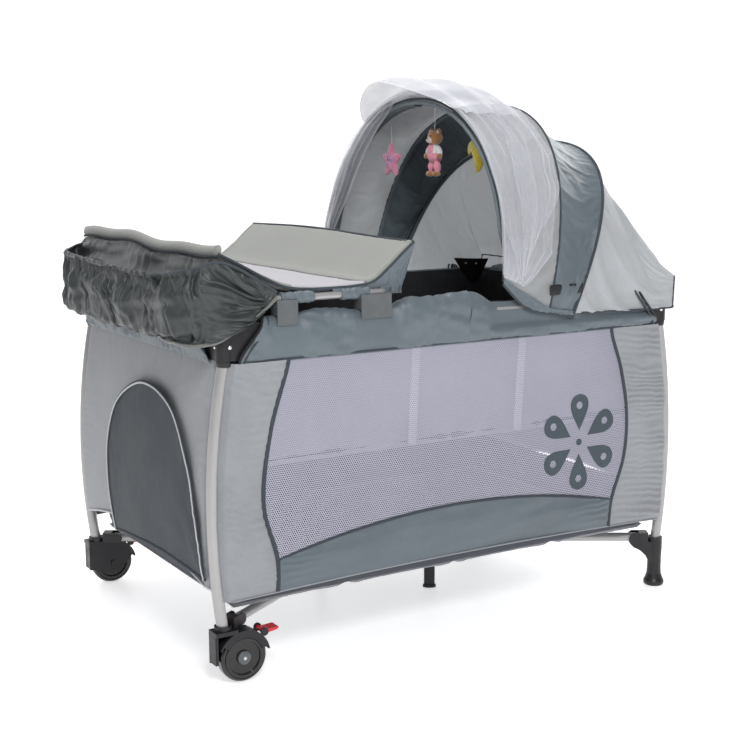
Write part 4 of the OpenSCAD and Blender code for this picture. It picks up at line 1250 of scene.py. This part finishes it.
REAR_X, REAR_LOW, REAR_RIDGE = 0.627, 0.722, 0.800


def rear_edge(t):
    """Bottom edge of the rear part: along the long rail, up the corner and across the end."""
    u = min(t, 180 - t)
    s = -1 if t < 90 else 1
    foot = REAR_ARCH[0] + 0.024
    if u < 15:
        k = u / 15
        return np.array((lerp(foot, REAR_X - 0.008, k), s * (CANOPY_Y + 0.004 * k),
                         lerp(REAR_ARCH[1], REAR_LOW, k)))
    if u < 50:
        k = (u - 15) / 35
        return np.array((REAR_X - 0.008 + 0.008 * k, s * (CANOPY_Y + 0.004 - 0.005 * k),
                         lerp(REAR_LOW, REAR_RIDGE, k)))
    return np.array((REAR_X, s * (CANOPY_Y - 0.001) * (90 - u) / 40, REAR_RIDGE))


def canopy_point(s, t, grow=0.0):
    """s is 0 at the front hoop, 1 at the middle one, 2 at the rear one and 3 at the rear edge."""
    if s <= 1:
        return lerp(arch(FRONT_ARCH, t, grow), arch(MID_ARCH, t, grow), s)
    if s <= 2:
        return lerp(arch(MID_ARCH, t, grow), arch(REAR_ARCH, t, grow), s - 1)
    return lerp(arch(REAR_ARCH, t, grow), rear_edge(t), s - 2)


def tilted(x, z, lean, reach):
    """Start and end points for cloth between two hoops, across the plane of the hoops."""
    lean = math.radians(lean)
    start = np.array((x, 0.0, z))
    return tuple(start), tuple(start + np.array((-math.cos(lean), 0.0, math.sin(lean))) * reach)


FRONT_FOLD = ("hoop_mid", "hoop_front", *tilted(0.232, 0.740, 7.5, 0.055))
MID_FOLD = ("root", "hoop_mid", *tilted(0.305, 0.728, 17.8, 0.066))


def arc_metres(t):
    return t / 180 * 1.35


def canopy_panel(name, s0, s1, material, how, seed, sag, nu=44, nv=220, folds=0.003, t0=0.0, t1=180.0):
    """One panel between two hoops, pulled in between them and puckered along its seams."""
    def base(u, v):
        return canopy_point(lerp(s0, s1, u), lerp(t0, t1, v))

    def height(u, v):
        s, t = lerp(s0, s1, u), lerp(t0, t1, v)
        along = arc_metres(t)
        side = math.sin(math.pi * v) ** 0.5
        h = -sag * math.sin(math.pi * u) * side
        h += 0.0030 * gathers(along, u * 0.13, 0.019, 0.022, seed)
        h += 0.0030 * gathers(along, (1 - u) * 0.13, 0.021, 0.022, seed + 1)
        low = min(v, 1 - v)
        h += (0.0050 * gathers(u * 0.14, low * 1.3, 0.028, 0.07, seed
                               + 2) * ease(u / 0.15) * ease((1 - u) / 0.15))
        h += (folds * (1.6 * wave(u * 2.2 + along, along * 5 - u, seed + 3)
                       + 0.9 * wave(u * 4 - along * 3, along * 9, seed + 4)))
        h = lerp(abs(h), h, ease((low - 0.02) / 0.06))
        return h * ease(u / 0.04) * ease((1 - u) / 0.04) * ease(low / 0.012)

    return cloth_sheet(name, base, height, nu, nv, material, how, 1,
                       relax=dict(shrink=-0.012, cap=0.008))


def canopy():
    front = canopy_panel("canopy_front_panel", 0.0, 1.0, LIGHT_CANOPY, FRONT_FOLD, 110.0, 0.010)
    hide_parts("canopy_front")
    middle = canopy_panel("canopy_middle_panel", 1.0, 2.0, SLATE, MID_FOLD, 120.0, 0.012, folds=0.004)
    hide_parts("canopy_mid")

    def rear_base(u, v):
        return canopy_point(2 + u, lerp(0, 180, v))

    def rear_height(u, v):
        t = lerp(0, 180, v)
        along = arc_metres(t)
        low = min(v, 1 - v)
        top = math.sin(math.pi * v)
        h = -0.006 * math.sin(math.pi * u) * top
        h += 0.0035 * gathers(along, u * 0.33, 0.024, 0.035, 130.0)
        long_folds = wave(along * 7 + u * 1.2, u * 2.0, 131.0)
        h += 0.0075 * long_folds * ease(u / 0.2) * ease((1 - u) / 0.1)
        h += 0.0040 * gathers(along, (1 - u) * 0.33, 0.045, 0.10, 132.0)
        h = lerp(abs(h), h, ease((low - 0.04) / 0.08))
        return h * ease(u / 0.03) * ease((1 - u) / 0.02) * ease(low / 0.01)

    rear = cloth_sheet("canopy_rear_panel", rear_base, rear_height, 70, 200, REAR_CLOTH_PAINTED_LIT, "root", 1,
                       relax=dict(shrink=-0.012, cap=0.008))
    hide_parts("canopy_rear")

    def valance_base(u, v):
        y = lerp(-(CANOPY_Y - 0.002), CANOPY_Y - 0.002, u)
        return np.array((REAR_X - 0.0005, y, lerp(REAR_LOW + 0.002, REAR_RIDGE, v)))

    def valance_height(u, v):
        y = lerp(-CANOPY_Y, CANOPY_Y, u)
        return 0.004 * wave(y * 9, v * 2, 140.0) + 0.003 * gathers(y, (1 - v) * 0.08, 0.035, 0.05, 141.0)

    cloth_sheet("canopy_rear_valance", valance_base, valance_height, 140, 16, REAR_CLOTH_PAINTED_LIT, "root", (1, 0, 0))

    # dark lining strip just inside the front hoop
    def lining_base(u, v):
        return canopy_point(lerp(0.0, 0.16, u), lerp(92, 179, v),
                            lerp(-0.002, -0.0165, ease(u / 0.15) * ease((1 - u) / 0.15)))

    cloth_sheet("canopy_front_lining", lining_base, lambda u, v: 0.0008 * wave(u, v * 30, 150.0), 6, 160,
                SLATE,
                "hoop_front", 1)
    ts = np.linspace(0, 180, 150)
    for name, s, size, body, lift in (("front", 0.0, 0.0062, "hoop_front", 0.0005),
                                      ("middle", 1.0, 0.0052, "hoop_mid", 0.001),
                                      ("rear", 2.0, 0.0074, "root", 0.0015)):
        path = [canopy_point(s, t, lift) for t in ts]
        centre = np.array((path[75][0], 0.0, 0.85))
        piping(f"canopy_seam_{name}", path, lambda i: path[i] - centre, size, size * 0.8, BINDING, body)
    rear_path = [rear_edge(t) + np.array((0.001, 0, 0)) for t in np.linspace(0, 180, 200)]
    piping("canopy_rear_hem", rear_path, (0, 0, -1), 0.0045, 0.0045, BINDING, "root")
    low_path = [np.array((REAR_X + 0.001, y, REAR_LOW + 0.002)) for y in np.linspace(-CANOPY_Y, CANOPY_Y, 60)]
    piping("canopy_valance_hem", low_path, (1, 0, 0), 0.0045, 0.0045, BINDING, "root")

    # slate band under the lower edge, on both sides
    for side, tag in ((-1, "near"), (1, "far")):
        for part, s0, s1, how in (("front", 0.0, 1.0, FRONT_FOLD), ("middle", 1.0, 2.0, MID_FOLD)):
            def hem_base(u, v):
                s = lerp(s0, s1, u)
                p = canopy_point(s, 0.0)
                drop = 0.006 + (0.020 * math.sin(math.pi * s) if s < 1 else 0.0)
                rise = 0.006 * (1 - v)
                return np.array((p[0], side * (CANOPY_Y + 0.0016 - 0.001 * v), p[2] + rise - drop * v))

            def hem_height(u, v):
                s = lerp(s0, s1, u)
                return (0.0016 + 0.0014 * wave(s * 8, v * 3, 160.0 + side)
                        + 0.0016 * gathers(s * 0.13, v * 0.02, 0.02, 0.03, 161.0))

            cloth_sheet(f"canopy_hem_{part}_{tag}", hem_base, hem_height, 60, 8, SLATE, how, (0, side, 0))
            edge = [hem_base(u, 1.0) for u in np.linspace(0, 1, 40)]
            follow(piping(f"canopy_hem_piping_{part}_{tag}", edge, (0, side, 0), 0.0060, 0.0055, BINDING,
                          sides=10), how)


# ---------- Net ----------

def net():
    """The insect net, rolled back over the front hoop in loose translucent folds."""
    def layer(name, s_of, t0, t1, lift_of, folds, seed, nu=70, nv=200, bulk=0.0):
        def fold_at(u, along):
            return u * folds + 0.8 * wave(along * 2.0, u * 0.8, seed)

        def base(u, v):
            t = lerp(t0, t1, v)
            s0, s1 = s_of(t)
            lift = lift_of(t, u)
            p = arch(FRONT_ARCH, t, lift)
            return p + (arch(MID_ARCH, t, lift) - p) * lerp(s0, s1, u)

        def height(u, v):
            t = lerp(t0, t1, v)
            along = arc_metres(t)
            gather = 0.25 + 0.75 * ease(min(t, 180 - t) / 25)
            ridge = math.sin(2 * math.pi * fold_at(u, along))
            return gather * (0.0042 * ridge + 0.0060 * wave(u * 2, along * 3, seed + 1))

        piece = cloth_sheet(name, base, height, nu, nv, NET, "hoop_front", 1)
        dense = piece.data.attributes.new("dense", "FLOAT", "POINT")
        for i in range(nu + 1):
            for j in range(nv + 1):
                u, v = i / nu, j / nv
                t = lerp(t0, t1, v)
                crease = abs(math.sin(math.pi * fold_at(u, arc_metres(t)))) ** 4
                foot = 0.45 * (1 - ease(min(t, 180 - t) / 16))
                rim = 0.5 * max(0.0, 1 - min(u, 1 - u) / 0.03)
                loose = 0.5 + 0.5 * wave(u * 3, v * 6, seed + 4)
                dense.data[i * (nv + 1) + j].value = min(1.0, bulk + crease * 0.7 * loose + foot + rim)
        return piece

    edge = [(0, 0.30), (3, 0.56), (10, 0.84), (30, 0.92), (60, 0.78), (80, 0.90), (95, 0.72), (125, 0.50),
            (150, 0.40),
            (172, 0.34), (180, 0.25)]

    def outer(t):
        return (float(np.interp(t, [a for a, b in edge], [b for a, b in edge]))
                + 0.04 * wave(t * 0.08, 0.0, 2.0))

    wide = layer("net_main", lambda t: (-0.03, outer(t)), 1, 179, lambda t, u: 0.0075
                 + 0.010 * math.sin(math.pi * u), 6.0,
                 170.0)
    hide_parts("net")

    def second(t):
        foot = ease(min(t, 180 - t) / 20)
        return (lerp(0.22, -0.05, foot), lerp(0.30, 0.62 * outer(t) + 0.05 * wave(t * 0.06, 1.0, 4.0), foot))

    def third(t):
        foot = ease(min(t, 180 - t) / 28)
        return (lerp(0.26, 0.26 + 0.08 * wave(t * 0.05, 2.0, 5.0), foot), lerp(0.30, outer(t) - 0.04, foot))

    layer("net_second", second, 2, 178, lambda t, u: 0.0135 + 0.006 * math.sin(math.pi * u), 5.0, 180.0)
    layer("net_third", third, 3, 168, lambda t, u: 0.0185 + 0.010 * math.sin(math.pi * u), 3.0, 190.0)

    def puffed(t, u):
        swell = math.sin(math.pi * min(1.0, max(0.0, (t - 58) / 68))) ** 0.8
        return 0.012 + 0.036 * swell * math.sin(math.pi * lerp(0.12, 0.92, u)) ** 0.6

    layer("net_puff", lambda t: (-0.50 * math.sin(math.pi * min(1.0, max(0.0, (t - 62) / 62))) ** 0.7, 0.72),
          60, 124,
          puffed, 3.0, 200.0, 50, 90, 0.55)
    # the part that hangs inside the far half of the opening, from the top of the hoop to its far foot
    top, foot = arch(FRONT_ARCH, 102, 0.004), arch(FRONT_ARCH, 179, 0.004)

    def veil_base(u, v):
        p = arch(FRONT_ARCH, lerp(102, 179, v), 0.004)
        chord = lerp(top, foot, (top[2] - p[2]) / (top[2] - foot[2]))
        return lerp(p, chord, 0.80 * u) + np.array((-0.010 - 0.012 * math.sin(math.pi * u), 0, 0))

    def veil_height(u, v):
        return (0.0040 * math.sin(2 * math.pi * (4 * u + 0.6 * wave(v * 2, u, 221.0)))
                + 0.004 * wave(u * 2, v * 3, 222.0))

    nu, nv = 44, 90
    veil = cloth_sheet("net_veil", veil_base, veil_height, nu, nv, NET, "hoop_front", (-1, 0, 0))
    dense = veil.data.attributes.new("dense", "FLOAT", "POINT")
    for i in range(nu + 1):
        for j in range(nv + 1):
            u, v = i / nu, j / nv
            crease = abs(math.sin(math.pi * (6 * u + 0.9 * wave(v * 2, u, 221.0)))) ** 6
            rim = max(0.0, 1 - (1 - u) / 0.05) * 0.6
            dense.data[i * (nv + 1) + j].value = min(1.0, 0.12
                                                     + crease * (0.6 + 0.5 * wave(u * 4, v * 3, 223.0)) + rim)
    ts = np.linspace(2, 178, 160)
    path = [arch(FRONT_ARCH, t, 0.0100) + np.array((-0.004 + 0.004 * wave(t * 0.05, 0.0, 210.0), 0, 0))
            for t in ts]
    centre = np.array((0.12, 0.0, 0.85))
    piping("net_edge", path, lambda i: path[i] - centre, 0.010, 0.006, NET, "hoop_front", 14)


# ---------- Toys ----------

def blob(name, centre, radii, material, body, turn=0.0, lump=0.0012, seed=0.0, power=1.0):
    """A stuffed ball, egg or limb: an ellipsoid with soft lumps and a pinched seam, turned about X."""
    centre = np.array(centre)
    nu, nv = 20, 28
    c, s = math.cos(turn), math.sin(turn)
    verts = []
    for i in range(nu + 1):
        a = math.pi * i / nu
        for j in range(nv):
            b = 2 * math.pi * j / nv
            d = np.array((math.sin(a) * math.cos(b), math.sin(a) * math.sin(b), math.cos(a)))
            grow = 1 - 0.06 * math.exp(-(d[0] / 0.08) ** 2)
            p = d * np.array(radii) * grow
            p += d * lump * wave(*(p * 90 + seed))
            p = np.array((p[0], p[1] * c - p[2] * s, p[1] * s + p[2] * c))
            verts.append(centre + p)
    faces = [(i * nv + j, (i + 1) * nv + j, (i + 1) * nv + (j + 1) % nv, i * nv + (j + 1) % nv)
             for i in range(nu) for j in range(nv)]
    return add_object(name, verts, faces, material, body)


def puff(name, centre, radius, thick, material, body, seed):
    """A flat stuffed shape in the YZ plane, from its outline radius(angle)."""
    rings, steps = 12, 100
    verts = []
    for side in (-1, 1):
        for k in range(rings + 1):
            share = math.sin(math.pi / 2 * k / rings)
            for j in range(steps):
                a = 2 * math.pi * j / steps
                r = radius(a) * share
                tall = thick * math.sqrt(max(0.0, 1 - share ** 2)) + 0.0006 * wave(r * 90, a, seed)
                verts.append((centre[0] + side * tall, centre[1] + r * math.sin(a), centre[2]
                              + r * math.cos(a)))
    faces = []
    w = (rings + 1) * steps
    for side in range(2):
        for k in range(rings):
            for j in range(steps):
                f = [side * w + k * steps + j, side * w + (k + 1) * steps + j,
                     side * w + (k + 1) * steps + (j + 1) % steps, side * w + k * steps + (j + 1) % steps]
                faces.append(tuple(f if side else f[::-1]))
    return add_object(name, verts, faces, material, body)


TOY_TURNS = (("moon", 65.5), ("bear", 90.0), ("star", 117.0))


def toys():
    pins = {}
    for name, t in TOY_TURNS:
        pins[name] = lerp(arch(FRONT_ARCH, t, -0.0024, CANOPY_Y + 0.0024),
                          arch(MID_ARCH, t, -0.0024, CANOPY_Y + 0.0024),
                          0.27) - np.array((0, 0, 0.011))
        length = {"moon": 0.050, "bear": 0.060, "star": 0.062}[name]
        p = pins[name]
        path = [p + np.array((0.0006 * math.sin(k * 0.8), 0, 0.009 - (length + 0.009) * k / 16))
                for k in range(17)]
        piping(f"toy_{name}_string", path, (1, 0, 0), 0.0030, 0.0012, WHITE_CLOTH, f"toy_{name}", 8)

    def star_radius(a):
        return 0.0350 + 0.0105 * math.cos(5 * a) + 0.0014 * math.cos(10 * a)

    p = pins["star"] + np.array((0, 0, -0.094))
    star = puff("star_body", p, star_radius, 0.0095, STAR_PLUSH, "toy_star", 1.0)
    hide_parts("toy_star")
    for k, colour in enumerate((BLUE_CLOTH, PURPLE_CLOTH, BLUE_CLOTH)):
        a = 2.1 * k + 0.5
        blob(f"star_patch_{k}", p + np.array((-0.0082, 0.011 * math.sin(a), 0.011 * math.cos(a))),
             (0.0028, 0.0052, 0.0052), colour, "toy_star", seed=k)
    for k, side in enumerate((-1, 1)):
        blob(f"star_eye_{k}", p + np.array((-0.0098, side * 0.0048, 0.002)), (0.0012, 0.0016, 0.0020), EYE,
             "toy_star", lump=0.0)

    p = pins["moon"] + np.array((0, 0.004, -0.084))
    turns, steps = 30, 22
    verts = []
    for i in range(turns + 1):
        share = i / turns
        a = math.radians(lerp(-158, 68, share))
        r = 0.0175 * math.sin(math.pi * share) ** 0.75 + 0.0010
        middle = np.array((0.0, -0.022 * math.cos(a) + 0.004, -0.032 * math.sin(a) - 0.012))
        out = np.array((0.0, -math.cos(a), -math.sin(a)))
        for j in range(steps):
            b = 2 * math.pi * j / steps
            verts.append(p + middle + out * r * math.cos(b) + np.array((0.75 * r * math.sin(b), 0, 0)))
    faces = [(i * steps + j, (i + 1) * steps + j, (i + 1) * steps + (j + 1) % steps, i * steps
              + (j + 1) % steps)
             for i in range(turns) for j in range(steps)]
    faces.append(tuple(reversed(range(steps))))
    faces.append(tuple(turns * steps + j for j in range(steps)))
    moon = add_object("moon_body", verts, faces, YELLOW_PLUSH, "toy_moon")
    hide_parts("toy_moon")

    p = pins["bear"]
    head = blob("bear_head", p + np.array((0, 0, -0.078)), (0.0195, 0.0215, 0.0195), BEAR_PLUSH, "toy_bear",
                seed=1.0)
    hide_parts("toy_bear")
    blob("bear_muzzle_pad", p + np.array((-0.0165, 0, -0.0835)), (0.0085, 0.0105, 0.0082), BEAR_PALE,
         "toy_bear")
    blob("bear_nose", p + np.array((-0.0247, 0, -0.0800)), (0.0022, 0.0032, 0.0024), EYE, "toy_bear",
         lump=0.0)
    torso = blob("bear_torso", p + np.array((0, 0, -0.113)), (0.0165, 0.0195, 0.0200), WHITE_CLOTH,
                 "toy_bear", seed=2.0)
    blob("bear_trousers", p + np.array((0, 0, -0.124)), (0.0182, 0.0215, 0.0185), PINK_CLOTH, "toy_bear",
         seed=3.0)
    blob("bear_bib", p + np.array((-0.0115, 0, -0.109)), (0.0070, 0.0120, 0.0125), PINK_CLOTH, "toy_bear",
         seed=4.0)
    for side, tag in ((-1, "a"), (1, "b")):
        blob(f"bear_ear_{tag}", p + np.array((0.002, side * 0.0165, -0.0635)), (0.0055, 0.0085, 0.0085),
             BEAR_PLUSH,
             "toy_bear", seed=5.0)
        blob(f"bear_inner_ear_{tag}", p + np.array((-0.0030, side * 0.0168, -0.0640)),
             (0.0025, 0.0052, 0.0052),
             BEAR_PALE, "toy_bear")
        blob(f"bear_eye_{tag}", p + np.array((-0.0182, side * 0.0078, -0.0740)), (0.0017, 0.0019, 0.0021),
             EYE,
             "toy_bear", lump=0.0)
        blob(f"bear_arm_{tag}", p + np.array((-0.003, side * 0.0225, -0.1115)), (0.0080, 0.0082, 0.0150),
             WHITE_CLOTH,
             "toy_bear", turn=side * 0.60, seed=6.0)
        blob(f"bear_paw_{tag}", p + np.array((-0.005, side * 0.0300, -0.1240)), (0.0066, 0.0066, 0.0072),
             BEAR_PLUSH,
             "toy_bear", seed=7.0)
        blob(f"bear_leg_{tag}", p + np.array((-0.001, side * 0.0120, -0.1500)), (0.0092, 0.0092, 0.0170),
             PINK_CLOTH,
             "toy_bear", turn=side * 0.1, seed=8.0)
        blob(f"bear_foot_{tag}", p + np.array((-0.005, side * 0.0135, -0.1685)), (0.0120, 0.0085, 0.0072),
             BEAR_PLUSH,
             "toy_bear", seed=9.0)
        strap = [p + np.array((-0.0155 + 0.010 * k / 8, side * 0.0085, -0.102 + 0.012 * k / 8))
                 for k in range(9)]
        piping(f"bear_strap_{tag}", strap, (-1, 0, 0.5), 0.0040, 0.0014, PINK_CLOTH, "toy_bear", 8)


# ---------- Hard details ----------

def plate(name, lo, hi, bevel, material, body):
    """A flat moulded plate with rounded edges."""
    lo, hi = Vector(lo), Vector(hi)
    corners = [(x, y, z) for x in (lo.x, hi.x) for y in (lo.y, hi.y) for z in (lo.z, hi.z)]
    faces = [(0, 1, 3, 2), (4, 6, 7, 5), (0, 4, 5, 1), (2, 3, 7, 6), (0, 2, 6, 4), (1, 5, 7, 3)]
    obj = add_object(name, corners, faces, material, body)
    edge = obj.modifiers.new("edge", "BEVEL")
    edge.width = bevel
    edge.segments = 3
    return bake(obj)


def gussets():
    """Black corner pieces with three screws inside the bassinet's right-hand corners."""
    lo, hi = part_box("bassinet")
    for side, tag in ((-1, "near"), (1, "far")):
        corner = np.array((hi.x - 0.012, side * (hi.y - 0.012), 0.0))
        along_x, along_y = np.array((-1.0, 0, 0)), np.array((0, -side * 1.0, 0))
        outline = [(1, 0.800), (0.75, 0.775), (0.25, 0.728), (0.0, 0.716)]
        left = [corner + along_x * 0.072 * k + np.array((0, 0, z)) for k, z in outline]
        right = [corner + along_y * 0.072 * k + np.array((0, 0, z)) for k, z in outline]
        inward = (along_x + along_y) / math.sqrt(2)
        rows = 10
        verts = []
        for a, b in zip(left, right):
            for j in range(rows + 1):
                verts.append(lerp(a, b, j / rows) + inward * 0.010 * math.sin(math.pi * j / rows))
        w = rows + 1
        faces = [(i * w + j, i * w + j + 1, (i + 1) * w + j + 1, (i + 1) * w + j) for i in range(3)
                 for j in range(rows)]
        if side > 0:
            faces = [f[::-1] for f in faces]
        add_object(f"corner_gusset_{tag}", verts, faces, BLACK, "root")
        for k, (across, z) in enumerate(((0.32, 0.785), (0.68, 0.785), (0.5, 0.755))):
            reach = 0.072 * (z - 0.716) / 0.084
            a, b = corner + along_x * reach, corner + along_y * reach
            at = lerp(a, b, across) + inward * 0.0112 + np.array((0, 0, z))
            rivet(f"gusset_screw_{tag}_{k}", tuple(at), tuple(inward), 0.0030, "root", RIVET)


def details():
    for y_tag, sy in (("near", -1), ("far", 1)):
        for x_tag, sx in (("left", -1), ("right", 1)):
            leg = f"leg_{y_tag}_{x_tag}"
            corner = f"{y_tag}_{x_tag}"
            low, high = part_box(f"bracket_{corner}")
            face = low.y if sy < 0 else high.y
            rivet(f"bracket_rivet_{corner}_a", (sx * (TOP_X - 0.006), face, 0.7190), (0, sy, 0), 0.0048, leg,
                  RIVET)
            rivet(f"bracket_rivet_{corner}_b", (sx * (TOP_X + 0.0165), sy * (POST_Y - 0.006), 0.7190),
                  (sx, 0, 0), 0.0048,
                  leg, RIVET)
            z = POST_HIGH - 0.003
            lathe(f"post_collar_{corner}", (sx * post_x(z), sy * POST_Y, z), (0, 0, 1),
                  [(0.0130, -0.010), (0.0150, -0.009), (0.0162, -0.002), (0.0162, 0.004), (0.0140, 0.006)],
                  BLACK, leg)
        wheel = f"wheel_{y_tag}"
        low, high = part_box(wheel)
        centre = (low + high) / 2
        for side, tag in ((-1, "outer"), (1, "inner")):
            way = side if sy < 0 else -side
            face = Vector((centre.x, low.y if way < 0 else high.y, centre.z))
            ring = [(0.0440, -0.004), (0.0440, 0.0006), (0.0415, 0.0014), (0.0375, 0.0010), (0.0360, -0.003)]
            lathe(f"{wheel}_rim_{tag}", face, (0, way, 0), ring, BLACK_GLOSS, wheel, 56)
            cap = [(0.0150, -0.003), (0.0150, 0.0014), (0.0135, 0.0030), (0.0080, 0.0042), (0.0020, 0.0046)]
            lathe(f"{wheel}_cap_{tag}", face, (0, way, 0), cap, GREY_PLASTIC, wheel, 36)
            rivet(f"{wheel}_axle_{tag}", face + Vector((0, way * 0.0040, 0)), (0, way, 0), 0.0042, wheel,
                  RIVET)
    for tag, side in (("near", -1), ("far", 1)):
        y = side * (CANOPY_Y + 0.0062)
        plate(f"canopy_clamp_{tag}", (0.231, min(y, y - side * 0.004), 0.776),
              (0.329, max(y, y - side * 0.004), 0.800),
              0.0018, BLACK, "root")
        for x in (0.243, 0.317):
            rivet(f"canopy_clamp_rivet_{tag}_{'front' if x < 0.3 else 'rear'}", (x, y, 0.788), (0, side, 0),
                  0.0036,
                  "root", BLACK)


# ---------- Room, light and camera ----------

def room():
    m = Nodes("studio_floor", (0.86, 0.86, 0.87), 0.35, specular=0.35)
    m.shader.inputs["Emission Color"].default_value = (1.0, 1.0, 1.0, 1)
    m.shader.inputs["Emission Strength"].default_value = 0.55
    m.rough(m.spread(m.noise(3.0, 4.0), 0.3, 0.7, 0.30, 0.42))
    verts = []
    profile = [(-12.0, 0.0), (3.2, 0.0)]
    profile += [(3.2 + 1.5 * math.sin(a), 1.5 - 1.5 * math.cos(a)) for a in np.linspace(0.1, math.pi / 2, 10)]
    profile += [(4.7, 9.0)]
    way = math.radians(31.6)
    for along, z in profile:
        for across in (-14.0, 14.0):
            verts.append((along * math.sin(way) + across * math.cos(way), along * math.cos(way)
                          - across * math.sin(way),
                          z - 0.0005))
    faces = [(2 * i, 2 * i + 1, 2 * i + 3, 2 * i + 2) for i in range(len(profile) - 1)]
    floor = add_object("studio_backdrop", verts, faces, m.material)
    world = bpy.data.worlds.new("studio")
    world.use_nodes = True
    world.node_tree.nodes["Background"].inputs[0].default_value = (1.0, 1.0, 1.02, 1)
    world.node_tree.nodes["Background"].inputs[1].default_value = 0.34
    bpy.context.scene.world = world

    def area(name, place, target, size, power, colour=(1, 1, 1)):
        light = bpy.data.lights.new(name, "AREA")
        light.shape = "DISK"
        light.size = size
        light.energy = power
        light.color = colour
        obj = bpy.data.objects.new(name, light)
        obj.location = place
        obj.rotation_mode = "QUATERNION"
        obj.rotation_quaternion = (Vector(target) - Vector(place)).to_track_quat("-Z", "Y")
        bpy.context.scene.collection.objects.link(obj)

    area("key", (-1.3, -2.9, 2.7), (-0.1, 0, 0.5), 1.0, 62)
    area("fill", (2.8, 0.5, 2.4), (0.3, 0, 0.8), 1.6, 34)
    area("top", (-0.2, 0.5, 3.4), (0, 0, 0.4), 1.8, 46)


def camera():
    """Stands where the photograph was taken from."""
    yaw, pitch, roll = math.radians(31.566), math.radians(9.812), math.radians(-0.16)
    forward = Vector((math.sin(yaw) * math.cos(pitch), math.cos(yaw) * math.cos(pitch), -math.sin(pitch)))
    data = bpy.data.cameras.new("camera")
    data.sensor_width = 36.0
    data.lens = 64.07
    obj = bpy.data.objects.new("camera", data)
    obj.location = (-1.741, -2.836, 1.125)
    obj.rotation_mode = "QUATERNION"
    facing = forward.to_track_quat("-Z", "Y")
    obj.rotation_quaternion = facing @ Quaternion((0, 0, 1), roll)
    bpy.context.scene.collection.objects.link(obj)
    bpy.context.scene.camera = obj


camera()
finish_frame()
long_side("near", False, "leg_near_left", "leg_near_right")
long_side("far", True, "leg_far_right", "leg_far_left")
end_side("left", False, "leg_far_left", True)
end_side("right", True, "leg_near_right", False)
rail_covers()
pads()
tray()
bassinet()
changing_pad()
pad_skirt()
pocket()
canopy()
net()
toys()
gussets()
details()
room()
bpy.context.scene.view_settings.view_transform = "Standard"
